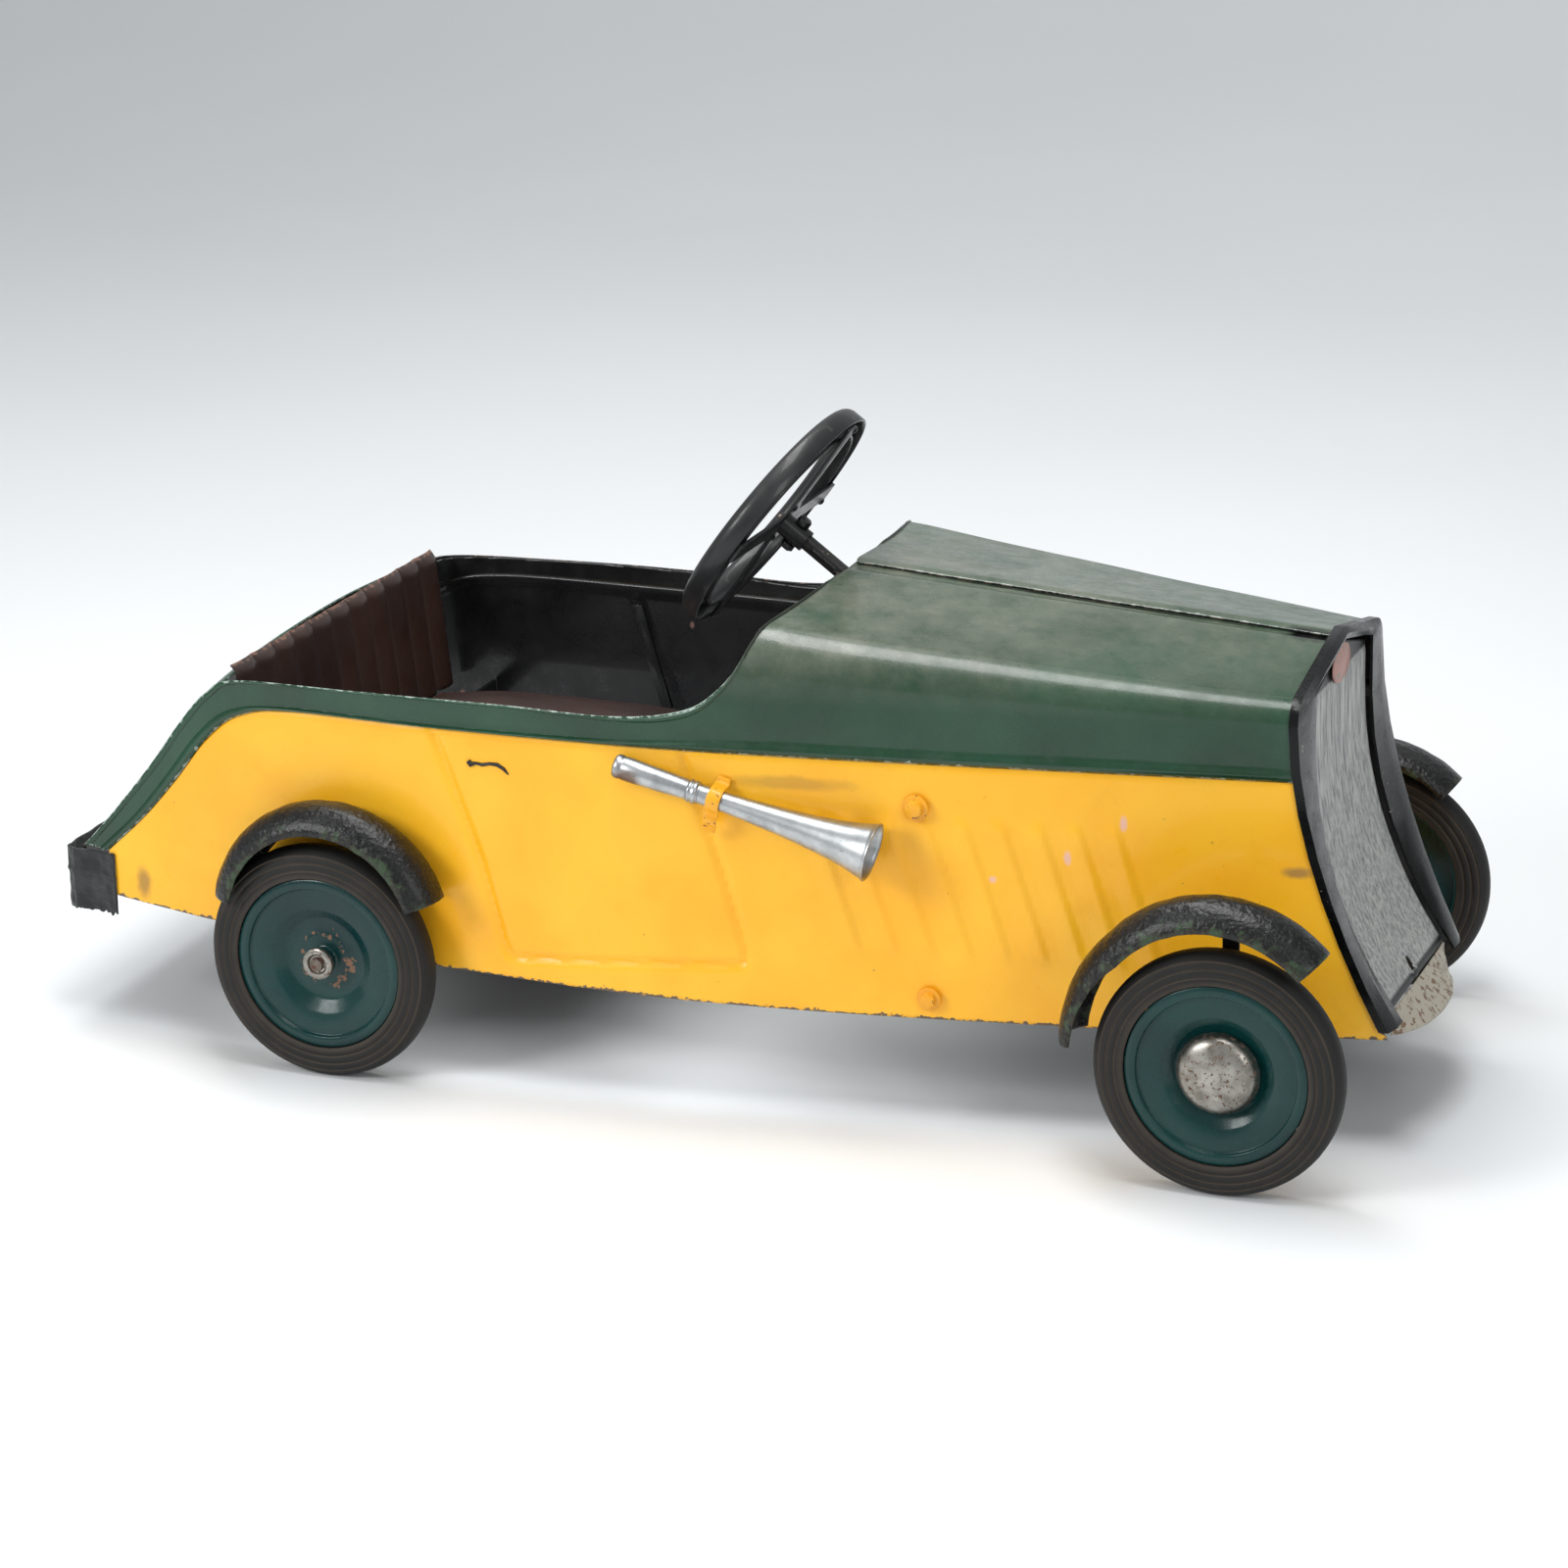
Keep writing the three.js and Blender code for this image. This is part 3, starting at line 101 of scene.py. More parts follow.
def chipped_enamel(name, colour, tone, bare, chips=0.66, grime="3a3026", dirt=0.35, roughness=0.3,
                   peel=0.25, dusty=None, marks=(), gloss=0.2):
    """Brushed or sprayed enamel on steel: mottled between colour and tone, chipped to bare.

    chips is the level that the chip pattern has to pass, so a lower one chips more. The pattern
    gains on a piece's edges, where its wear attribute is. dusty is (colour, low, high): dust that
    gathers between those heights in metres. marks are (centre, half sizes, colour, strength). gloss
    is how much clear varnish lies over the paint.
    """
    material, shader, place = start_material(name, Coat_Weight=gloss, Coat_Roughness=0.1,
                                              Specular_IOR_Level=0.2 + gloss)
    # Broad fading, about 90 mm across.
    fading = add_node(material, "ShaderNodeTexNoise", {"Scale": 11, "Detail": 4}, {"Vector": place})
    fade = add_node(material, "ShaderNodeMapRange", {1: 0.4, 2: 0.64}, {0: fading.outputs[0]})
    paint = add_node(material, "ShaderNodeMix", {6: to_linear(colour), 7: to_linear(tone)},
                     {0: fade.outputs[0]}, data_type="RGBA").outputs[2]
    # Handling dirt, in smears of about 20 mm broken into specks.
    smear = add_node(material, "ShaderNodeTexNoise", {"Scale": 46, "Detail": 9, "Roughness": 0.72},
                     {"Vector": place})
    dirty = add_node(material, "ShaderNodeMapRange", {1: 0.56, 2: 0.8, 4: dirt},
                     {0: smear.outputs[0]})
    paint = add_node(material, "ShaderNodeMix", {7: to_linear(grime)},
                     {0: dirty.outputs[0], 6: paint}, data_type="RGBA").outputs[2]
    if dusty:
        dust_colour, low, high = dusty
        height = add_node(material, "ShaderNodeSeparateXYZ", links={0: place}).outputs["Z"]
        reach = add_node(material, "ShaderNodeMapRange", {1: low, 2: high, 4: 0.9}, {0: height})
        cloud = add_node(material, "ShaderNodeTexNoise", {"Scale": 24, "Detail": 8, "Roughness": 0.7},
                         {"Vector": place})
        dense = add_node(material, "ShaderNodeMapRange", {1: 0.24, 2: 0.7}, {0: cloud.outputs[0]})
        dust = add_node(material, "ShaderNodeMath", links={0: reach.outputs[0], 1: dense.outputs[0]},
                        operation="MULTIPLY")
        paint = add_node(material, "ShaderNodeMix", {7: to_linear(dust_colour)},
                         {0: dust.outputs[0], 6: paint}, data_type="RGBA").outputs[2]
    for centre, half, mark_colour, strength in marks:
        where = add_node(material, "ShaderNodeMapping", {
            "Location": [-c / h for c, h in zip(centre, half)], "Scale": [1 / h for h in half],
        }, {"Vector": place})
        far = add_node(material, "ShaderNodeVectorMath", links={0: where.outputs[0]},
                       operation="LENGTH")
        broken = add_node(material, "ShaderNodeMath", {1: 1.3}, {0: smear.outputs[0]},
                          operation="MULTIPLY")
        ragged = add_node(material, "ShaderNodeMath", links={0: far.outputs["Value"],
                          1: broken.outputs[0]}, operation="ADD")
        inside = add_node(material, "ShaderNodeMapRange", {1: 1.75, 2: 1.1, 4: strength},
                          {0: ragged.outputs[0]})
        paint = add_node(material, "ShaderNodeMix", {7: to_linear(mark_colour)},
                         {0: inside.outputs[0], 6: paint}, data_type="RGBA").outputs[2]
    # Chips, 2 to 6 mm across, that bite in at the edges of the sheet.
    crackle = add_node(material, "ShaderNodeTexNoise", {"Scale": 190, "Detail": 6, "Roughness": 0.6},
                       {"Vector": place})
    edge = add_node(material, "ShaderNodeAttribute", attribute_name="wear")
    gain = add_node(material, "ShaderNodeMath", {1: 0.3}, {0: edge.outputs["Fac"]},
                    operation="MULTIPLY")
    bite = add_node(material, "ShaderNodeMath", links={0: crackle.outputs[0], 1: gain.outputs[0]},
                    operation="ADD")
    chip = add_node(material, "ShaderNodeMapRange", {1: chips, 2: chips + 0.02},
                    {0: bite.outputs[0]}).outputs[0]
    paint = add_node(material, "ShaderNodeMix", {7: to_linear(bare)}, {0: chip, 6: paint},
                     data_type="RGBA").outputs[2]
    dull = add_node(material, "ShaderNodeMapRange", {1: 0.35, 2: 0.8, 3: roughness,
                    4: roughness + 0.35}, {0: smear.outputs[0]})
    # Orange peel of about 1.5 mm, and the step down into each chip.
    skin_peel = add_node(material, "ShaderNodeTexNoise", {"Scale": 650, "Detail": 2},
                         {"Vector": place})
    level = add_node(material, "ShaderNodeMath", {2: 0.0}, {0: chip, 1: skin_peel.outputs[0]},
                     operation="SUBTRACT")
    relief = add_node(material, "ShaderNodeBump", {"Strength": peel, "Distance": 0.0004},
                      {"Height": level.outputs[0]}, invert=True)
    return feed(material, shader, {"Base Color": paint, "Roughness": dull.outputs[0],
                                   "Normal": relief.outputs[0]})


def at(x, y, z):
    """A point given from the rear axle in millimetres, in the model's frame in metres."""
    return ((x - REAR_AXLE_X) / 1000, y / 1000, z / 1000)


yellow_enamel = chipped_enamel(
    "yellow_enamel_on_pressed_steel", "febe28", "fbb31d", "6d5a45", chips=0.73, dirt=0.12,
    roughness=0.26, grime="7a5a22", marks=[
        (at(355, -172, 252), (0.05, 0.05, 0.006), "8d6a2c", 0.4),
        (at(594, -134, 235), (0.003, 0.05, 0.007), "e9b7a4", 0.95),
        (at(555, -140, 207), (0.003, 0.05, 0.006), "e9b7a4", 0.9),
        (at(502, -149, 188), (0.003, 0.05, 0.003), "e9b7a4", 0.8),
        (at(715, -113, 205), (0.012, 0.05, 0.005), "8a6a4a", 0.7),
        (at(-172, -175, 118), (0.008, 0.05, 0.014), "5b4a35", 0.6),
    ],
)
black_enamel = chipped_enamel(
    "black_enamel_brushed_inside", "0e0f10", "17181a", "6a5a50", chips=0.84, dirt=0.3,
    roughness=0.22, grime="2a2724", marks=[
        (at(-70, 185, 173), (0.003, 0.03, 0.004), "b98a7c", 0.8),
        (at(133, 188, 249), (0.002, 0.03, 0.003), "8a6a60", 0.8),
        (at(60, 188, 150), (0.006, 0.03, 0.004), "a07468", 0.8),
    ],
)


def half_width(x):
    """Half the body's width at x: rounded in at the tail and tapered to the nose."""
    nose = x - 260
    taper = (nose + math.hypot(nose, 100)) / 2
    return 193 - 0.00024 * max(0, 100 - x) ** 2 - 0.17 * taper


def seam_height(x):
    return COWL_HEIGHT - 0.0645 * (x - COWL_X)


def section(x):
    """Half a cross-section: up the side, round the shoulder and up the roof to the seam."""
    share = min(1, max(-0.2, (x - COWL_X) / (NOSE_X - COWL_X)))
    wide, slope = half_width(x), math.radians(5 + 6.5 * max(0, share))
    radius = 34 - 16 * share
    tangent = radius * math.tan((math.pi / 2 - slope) / 2)
    side_end = seam_height(x) - wide * math.tan(slope) - tangent
    roof_start = side_end + radius * (math.pi / 2 - slope)
    roof_end = roof_start + wide / math.cos(slope) - tangent
    return wide, slope, radius, side_end, roof_start, roof_end


def skin(x, h, off=0):
    """The point on the left half at x and a distance h along the section, moved out by off."""
    wide, slope, radius, side_end, roof_start, roof_end = section(x)
    if h <= side_end:
        return Vector((x, wide + off, h))
    if h <= roof_start:
        turn = (h - side_end) / radius
        reach = radius + off
        return Vector((x, wide - radius + reach * math.cos(turn), side_end + reach * math.sin(turn)))
    left = roof_end - h
    lean = math.copysign(math.sin(slope), left)
    z = seam_height(x) - abs(left) * math.sin(slope) + off * math.cos(slope)
    return Vector((x, left * math.cos(slope) + off * lean, z))


def nose_edge(z):
    return NOSE_X + NOSE_SWEEP * (max(0, 310 - z) / 215) ** 1.7


def along(points, u):
    """The point at a share u of a smooth path through the points."""
    step = (len(points) - 1) * u
    k = min(int(step), len(points) - 2)
    t = step - k
    a, b = Vector(points[max(k - 1, 0)]), Vector(points[k])
    c, d = Vector(points[k + 1]), Vector(points[min(k + 2, len(points) - 1)])
    v0, v1 = (c - a) / 2, (d - b) / 2
    return (2 * b - 2 * c + v0 + v1) * t**3 + (3 * c - 3 * b - 2 * v0 - v1) * t**2 + v0 * t + b


BELT_PATH = [(-203, 139), (-167, 172), (-136, 206), (-106, 242), (-76, 263), (-29, BELT)]
BELT_PATH += [(x, BELT) for x in (90, 190, 250, 285, 303, 315, 326, 336, 342, 350, 368, 440, 530, 618)]
BELT_PATH += [(nose_edge(BELT), BELT)]
BELT_X = [along(BELT_PATH, i / 2000).x for i in range(2001)]


def belt_share(u):
    """The share of the belt path whose x is a share u of the way to the nose."""
    want = BELT_X[0] + (BELT_X[-1] - BELT_X[0]) * u
    low, high = 0, 2000
    while high - low > 1:
        mid = (low + high) // 2
        low, high = (mid, high) if BELT_X[mid] < want else (low, mid)
    return (low + (want - BELT_X[low]) / (BELT_X[high] - BELT_X[low])) / 2000


def skirt(x):
    share = (x - 424.5) / 474.5
    return CUT_FOOT + CUT_RISE * share**2 * (1 if share < 0 else 0.6)


def side_line(u):
    """The foot and the head of the yellow side at a share u of its length."""
    x, h = along(BELT_PATH, u)
    foot_x = nose_edge(CUT_FOOT + 9) if u > 0.99999 else -226 + (x + 205) * 1.045
    last_x = BELT_PATH[-2][0]
    if x > last_x:
        share = (x - last_x) / (BELT_PATH[-1][0] - last_x)
        start = -226 + (last_x + 205) * 1.045
        foot_x = start + (nose_edge(CUT_FOOT + 9) - start) * share
    foot = Vector((foot_x, skirt(foot_x)))
    reach = (BELT + 8 - CUT_FOOT) / (BELT - CUT_FOOT)
    return foot, foot + (Vector((x, h)) - foot) * reach


def near_line(p, points):
    """How far p is from a chain of straight lines."""
    best = 1e9
    for a, b in zip(points[:-1], points[1:]):
        a, b = Vector(a), Vector(b)
        share = min(1, max(0, (p - a).dot(b - a) / (b - a).length_squared))
        best = min(best, (p - a - (b - a) * share).length)
    return best


DOOR = [(84, 271), (120, 171), (137, 106), (140, 102), (146, 100), (316, 111), (322, 113), (324, 119),
        (305, 188), (281, 258), (278, 271)]
RIB_TOP, RIB_FOOT, RIB_LEAN, RIB_STEP = 226, 131, 30, 26.8


def stamped(x, h):
    """How far the stamping stands out at a place on the side."""
    groove = near_line(Vector((x, h)), DOOR)
    out = -2.8 * math.exp(-((groove / 3.0) ** 2))
    if RIB_FOOT - 8 < h < RIB_TOP + 8:
        shift = x - 377.5 - RIB_LEAN * (RIB_TOP - h) / (RIB_TOP - RIB_FOOT)
        k = math.ceil(shift / RIB_STEP)
        back = k * RIB_STEP - shift
        if 0 <= k <= 8:
            fade = min(1, (h - RIB_FOOT + 8) / 10, (RIB_TOP + 8 - h) / 10)
            out += 2.1 * fade * max(0, 1 - back / 17) * min(1, back / 2.5 + 0.15)
    hem = h - skirt(x)
    if hem < 5:
        out -= 0.25 * (1 - hem / 5)
    return out + 0.5 * noise.noise(Vector((x, h, 7)) / 70)


def sheet_grid(columns, rows, place, outward, wear=None):
    """A fine grid bent to place(u, v), facing outward; wear(u, v) says how rubbed it is."""
    bm = bmesh.new()
    rubbed = bm.verts.layers.float.new("wear")
    bmesh.ops.create_grid(bm, x_segments=columns, y_segments=rows, size=1)
    for vert in bm.verts:
        u, v = (vert.co.x + 1) / 2, (vert.co.y + 1) / 2
        vert.co = place(u, v)
        vert[rubbed] = wear(u, v) if wear else 0
    bm.normal_update()
    if sum(f.normal.dot(Vector(outward)) * f.calc_area() for f in bm.faces) < 0:
        bmesh.ops.reverse_faces(bm, faces=bm.faces)
    return bm


def fit_piece(bm, name, body, finishes, stands_for=(), crease=40, thick=0):
    """Makes the piece, takes it into the model's frame and hangs it on its body."""
    to_row = Matrix.Scale(0.001, 4) @ Matrix.Translation((-REAR_AXLE_X, 0, 0))
    bmesh.ops.transform(bm, matrix=to_row, verts=bm.verts)
    for face in bm.faces:
        face.smooth = True
    for edge in bm.edges:
        edge.smooth = edge.calc_face_angle(0) < math.radians(crease)
    mesh = bpy.data.meshes.new(name)
    bm.to_mesh(mesh)
    bm.free()
    for finish in finishes:
        mesh.materials.append(finish)
    piece = bpy.data.objects.new(name, mesh)
    bpy.context.scene.collection.objects.link(piece)
    if thick:
        wall = piece.modifiers.new("sheet", "SOLIDIFY")
        wall.thickness = thick / 1000
        wall.offset = -1
        wall.material_offset = wall.material_offset_rim = len(finishes) - 1
    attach(piece, body)
    if stands_for:
        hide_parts(*stands_for)
    return piece


def flank(side):
    def place(u, v):
        foot, head = side_line(belt_share(u))
        p = foot + (head - foot) * v
        forward = max(0, (belt_share(u) - 0.9) / 0.1)
        end = side_line(1)[0].x * (1 - v) + side_line(1)[1].x * v
        x = p.x + (nose_edge(p.y) - end) * forward**4
        behind = (SHEET + 0.9) * min(1, max(0, (v - 0.945) / 0.02))
        p = skin(x, p.y, stamped(x, p.y) * (v < 0.95) - behind)
        return (p.x, side * p.y, p.z)

    def wear(u, v):
        foot, head = side_line(belt_share(u))
        low = v * (head - foot).length
        end = min(u, 1 - u) * BODY_RUN
        return max(0, 1 - min(low, end) / 4)

    return sheet_grid(380, 74, place, (0, side, 0), wear)


SIDES = (("right", -1), ("left", 1))
for name, side in SIDES:
    fit_piece(flank(side), f"flank_{name}", "body", [yellow_enamel, black_enamel],
              [f"side_panel_{name}"], thick=SHEET)


# ---------------------------------------------------------------- green upper sheets
# One pressing a side makes the tail's band, the cockpit's rim, the cowl and half of the bonnet. Its
# lower edge is rolled into a bead over the yellow side, its cockpit edge is rolled too, and the left
# half laps over the right one along the bonnet. The green is brushed over an older coat and dusty on top.

green_enamel = chipped_enamel(
    "green_enamel_brushed_on_steel", "133722", "1a442e", "93a39a", chips=0.735, dirt=0.25,
    roughness=0.2, grime="4e5a50", gloss=0.25, dusty=("747769", 0.31, 0.362), marks=[
        # This thin near-black line beside the bonnet seam, just past the left sheet's lapped edge, is a
        # painted shadow of the lap's step.
        (at(530, -10, 360), (0.19, 0.0016, 0.03), "1a1f1a", 0.95),
        (at(692, -12, 350), (0.022, 0.011, 0.03), "0b0b0b", 1.0),
    ],
)

TAIL_PATH = [(-226, 140), (-194, 174), (-160, 213), (-131, 250), (-106, 277), (-78, 290), (20, 293),
             (140, 294), (225, 293), (275, 300), (302, 315)]


def cowl_edge(x, y):
    return (x, section(x)[5] - y / math.cos(math.radians(5)))


def free_edge(lap):
    shoulder = section(324)
    path = TAIL_PATH + [(324, shoulder[3] + 0.35 * (shoulder[4] - shoulder[3]))]
    path += [cowl_edge(337, 118), cowl_edge(344, 50), cowl_edge(346, 12)]
    return path + [(x, section(x)[5] + lap) for x in (349, 366, 440, 530, 618, NOSE_X)]


def upper(side):
    high_path = free_edge(9 if side > 0 else -1)

    def spot(u, v):
        share = belt_share(u)
        low, high = along(BELT_PATH, share), along(high_path, share)
        return share, low, high, low + (high - low) * v

    def place(u, v):
        share, low, high, p = spot(u, v)
        span = (high - low).length
        from_belt, from_edge = v * span, (1 - v) * span
        end = BELT_PATH[-1][0] + (NOSE_X - BELT_PATH[-1][0]) * v
        x = p.x + (nose_edge(p.y) - end) * share**8
        out = 2.6 * math.sin(math.pi * min(1, from_belt / 9)) * min(1, (1 - u) / 0.02)
        if x < 344:
            out += 1.7 * math.sin(math.pi * min(1, from_edge / 6))
        if side < 0 and share > 0.66:
            out -= 2 * min(1, max(0, (v - 0.9) / 0.03)) * min(1, (share - 0.66) / 0.02)
        out += 0.7 * noise.noise(Vector((x, p.y, side * 30)) / 90) * min(1, from_belt / 20)
        q = skin(x, p.y, out)
        return (q.x, side * q.y, q.z)

    def wear(u, v):
        _, low, high, _ = spot(u, v)
        span = (high - low).length
        return max(0, 1 - min(v * span, (1 - v) * span, min(u, 1 - u) * BODY_RUN) / 3)

    return sheet_grid(380, 96, place, (0, side, 0.6), wear)


for name, side in SIDES:
    fit_piece(upper(side), f"upper_{name}", "body", [green_enamel, black_enamel],
              [f"upper_panel_{name}"], thick=SHEET)


# ---------------------------------------------------------------- small steel parts
# Straps, rails, brackets and rods are sheared and drilled from flat and round steel. Each is the
# plain part with its sharp corners broken.

def dressed(node, finish, body, name=None, broken=0.5, crease=35):
    """The plain part's own shape with merged corners and broken edges."""
    bm = bmesh.new()
    bm.from_mesh(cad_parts[node].data)
    bmesh.ops.transform(bm, matrix=Matrix.Scale(1000, 4), verts=bm.verts)
    bmesh.ops.translate(bm, vec=(REAR_AXLE_X, 0, 0), verts=bm.verts)
    bmesh.ops.remove_doubles(bm, verts=bm.verts, dist=0.01)
    bmesh.ops.dissolve_limit(bm, angle_limit=0.01, verts=bm.verts, edges=bm.edges)
    if broken:
        sharp = [e for e in bm.edges if e.calc_face_angle(0) > math.radians(50)]
        bmesh.ops.bevel(bm, geom=sharp, offset=broken, segments=2, profile=0.5, affect="EDGES",
                        material=-1, clamp_overlap=True)
    bmesh.ops.triangulate(bm, faces=[f for f in bm.faces if len(f.verts) > 4])
    return fit_piece(bm, name or f"{node}_finished", body, [finish], [node], crease=crease)


frame_black = chipped_enamel(
    "black_enamel_on_brackets", "141516", "1e1f20", "6b4a38", chips=0.66, dirt=0.5, roughness=0.34,
    grime="3b2e26",
)
for name in ("right", "left"):
    dressed(f"door_strap_{name}", black_enamel, "body", broken=0.3)
    dressed(f"axle_hanger_{name}", frame_black, "body")
    dressed(f"pedal_strap_{name}", frame_black, "body", broken=0.4)
for node in ("seat_rail_rear", "seat_rail_front", "front_axle_beam", "column_bracket"):
    dressed(node, frame_black, "body")


# ---------------------------------------------------------------- tail
# The rear deck is one crowned sheet from behind the seat to the foot of the tail, painted like the
# upper sheets. A steel strip wraps its foot, bound in black cloth tape that has frayed below.

DECK_PATH = TAIL_PATH[:5] + [(-90, 286)]


def deck(u, v):
    def line(share):
        if share < 0.25:
            return Vector((-228, 100 + 160 * share))
        return along(DECK_PATH, min(1, (share - 0.25) / 0.75))

    here, way = line(u), line(min(1, u + 0.01)) - line(max(0, u - 0.01))
    way.normalize()
    across = 2 * v - 1
    rolled = 1.5 * math.exp(-(((1 - u) * 170 - 4) / 3) ** 2)
    bulge = 10 * (1 - across**2) + rolled + 0.5 * noise.noise(Vector((u * 3, v * 4, 3)))
    return (here.x - way.y * bulge, across * (half_width(here.x) - SHEET - 0.3), here.y + way.x * bulge)


rear_deck = sheet_grid(90, 130, deck, (-1, 0, 0.6),
                       lambda u, v: max(0, 1 - min(u, 1 - u) * 60, 1 - min(v, 1 - v) * 110))
fit_piece(rear_deck, "tail_deck", "body", [green_enamel, black_enamel], ["rear_deck"],
          thick=SHEET)


def woven_tape(name, colour, tone, thread_mm):
    """Matt cotton tape: crossed threads, drawn three times coarser than real ones so that they show."""
    material, shader, place = start_material(name, Roughness=0.86, Sheen_Weight=0.25)
    scale = 1000 / (2 * thread_mm)
    warp = add_node(material, "ShaderNodeTexWave", {"Scale": scale / 6.3, "Distortion": 1.2},
                    {"Vector": place}, bands_direction="Z")
    weft = add_node(material, "ShaderNodeTexWave", {"Scale": scale / 6.3, "Distortion": 1.2},
                    {"Vector": place}, bands_direction="DIAGONAL")
    threads = add_node(material, "ShaderNodeMath", links={0: warp.outputs[1], 1: weft.outputs[1]},
                       operation="MULTIPLY")
    lint = add_node(material, "ShaderNodeTexNoise", {"Scale": 60, "Detail": 8}, {"Vector": place})
    worn = add_node(material, "ShaderNodeMapRange", {1: 0.45, 2: 0.7}, {0: lint.outputs[0]})
    cloth = add_node(material, "ShaderNodeMix", {6: to_linear(colour), 7: to_linear(tone)},
                     {0: worn.outputs[0]}, data_type="RGBA")
    relief = add_node(material, "ShaderNodeBump", {"Strength": 0.5, "Distance": 0.0006},
                      {"Height": threads.outputs[0]})
    return feed(material, shader, {"Base Color": cloth.outputs[2], "Normal": relief.outputs[0]})


black_tape = woven_tape("black_cotton_cloth_tape", "17191a", "303233", 1.4)


def taped_strip(u, v):
    """Round both rear corners, creased where the tape overlaps, with a torn lower edge."""
    back, corner, front = -243.2, half_width(-230) + 2.6, -198
    half_run = [Vector((front, -half_width(front) - 2.6)), Vector((back + 30, -corner)),
                Vector((back + 8, -corner - 0.4)), Vector((back, -corner + 5)),
                Vector((back - 1, -corner + 20)), Vector((back - 1.5, -90)), Vector((back - 1.5, 0))]
    share = 1 - abs(2 * u - 1)
    step = share * (len(half_run) - 1)
    k = min(int(step), len(half_run) - 2)
    p = half_run[k].lerp(half_run[k + 1], step - k)
    side = 1 if u > 0.5 else -1
    edge = noise.noise(Vector((u * 55, 0, 0)))
    low = 88 + 3.2 * edge + 1.5 * noise.noise(Vector((u * 210, 2, 0)))
    top = 136.5 + 1.2 * noise.noise(Vector((u * 40, 5, 0)))
    z = low + (top - low) * v
    crease = 0.6 * noise.noise(Vector((u * 30, z / 9, 1))) + 0.7 * math.exp(-(((v - 0.62) / 0.03) ** 2))
    return (p.x - crease * (share > 0.35), -side * (p.y - crease), z)


tape = sheet_grid(260, 30, taped_strip, (-1, 0, 0))
fit_piece(tape, "taped_tail_strip", "body", [black_tape], ["rear_bumper"], thick=1.8)


# ---------------------------------------------------------------- radiator
# A folded surround with a hollow, swept face is nailed over the nose and painted gloss black by
# brush. The grille inside it is one fluted sheet in silver paint, with a raised lip round the hole for
# a dummy crank, and below it hangs a bent apron that has lost most of its paint.

nose_black = chipped_enamel(
    "black_enamel_on_nose", "070708", "0e0f10", "a9a39a", chips=0.68, dirt=0.25, roughness=0.12,
    peel=0.45, grime="2a2a2a", gloss=0.05,
)
dressed("radiator_surround", nose_black, "body", broken=0.9, crease=28)


def grille_edge(z):
    return NOSE_X + GRILLE_FORWARD + NOSE_SWEEP * (max(0, 302 - z) / 207) ** 2.25


FLUTES, CRANK_HOLE_Z, GRILLE_HALF, GRILLE_FORWARD = 21, 104, 78.7, 4


def fluted(u, v):
    across = 2 * v - 1
    top = 321 + 22 * (1 - abs(across))
    z = 95 + (top - 95) * u
    # The flutes stop short of the plain corners at the top, and stand on a plain strip at the foot.
    rise = min(1, max(0, (z - 101) / 3)) * min(1, max(0, (318 - z) / 5))
    flute = 1.3 * abs(math.cos(across * FLUTES * math.pi / 2)) ** 0.7 * rise
    hole = math.hypot(across * GRILLE_HALF, z - CRANK_HOLE_Z)
    lip = 2.2 * math.exp(-(((hole - 7) / 1.8) ** 2))
    flute *= min(1, max(0, (hole - 9) / 3))
    sway = 0.5 * noise.noise(Vector((across * 2, z / 40, 0)))
    return (grille_edge(z) - 2 - 1.2 + flute + lip + sway, across * GRILLE_HALF, z)


def silver_brushed(name, colour, tone):
    """Aluminium paint put on by brush along the flutes: fine streaks, thin over the dark coat below."""
    material, shader, place = start_material(name, Roughness=0.42, Metallic=0.35)
    along_flutes = add_node(material, "ShaderNodeMapping", {"Scale": [1, 1, 0.06]}, {"Vector": place})
    streak = add_node(material, "ShaderNodeTexNoise", {"Scale": 420, "Detail": 6, "Roughness": 0.7},
                      {"Vector": along_flutes.outputs[0]})
    thin = add_node(material, "ShaderNodeMapRange", {1: 0.4, 2: 0.6}, {0: streak.outputs[0]})
    coat = add_node(material, "ShaderNodeMix", {6: to_linear(colour), 7: to_linear(tone)},
                    {0: thin.outputs[0]}, data_type="RGBA")
    parts = add_node(material, "ShaderNodeSeparateXYZ", links={0: place})
    # The plain corners over the flutes stay dark, above a height of 318 mm.
    corner = add_node(material, "ShaderNodeMapRange", {1: 0.3165, 2: 0.3185}, {0: parts.outputs["Z"]})
    sided = add_node(material, "ShaderNodeMath", links={0: parts.outputs["Y"]}, operation="ABSOLUTE")
    away = add_node(material, "ShaderNodeMapRange", {1: 0.012, 2: 0.015}, {0: sided.outputs[0]})
    dark = add_node(material, "ShaderNodeMath", links={0: corner.outputs[0], 1: away.outputs[0]},
                    operation="MULTIPLY")
    foot = add_node(material, "ShaderNodeMapRange", {1: 0.1005, 2: 0.0985}, {0: parts.outputs["Z"]})
    shaded = add_node(material, "ShaderNodeMath", links={0: dark.outputs[0], 1: foot.outputs[0]},
                      operation="MAXIMUM")
    coat = add_node(material, "ShaderNodeMix", {7: to_linear("2b2d2d")},
                    {0: shaded.outputs[0], 6: coat.outputs[2]}, data_type="RGBA")
    relief = add_node(material, "ShaderNodeBump", {"Strength": 0.35, "Distance": 0.0005},
                      {"Height": streak.outputs[0]})
    return feed(material, shader, {"Base Color": coat.outputs[2], "Normal": relief.outputs[0]})


silver = silver_brushed("aluminium_paint_brushed", "bcbdb9", "868888")
grille = sheet_grid(110, 300, fluted, (1, 0, 0))
hole = [f for f in grille.faces if math.hypot(f.calc_center_median().y,
                                              f.calc_center_median().z - CRANK_HOLE_Z) < 5]
bmesh.ops.delete(grille, geom=hole, context="FACES")
fit_piece(grille, "fluted_grille", "body", [silver], ["grille"], crease=60, thick=SHEET)


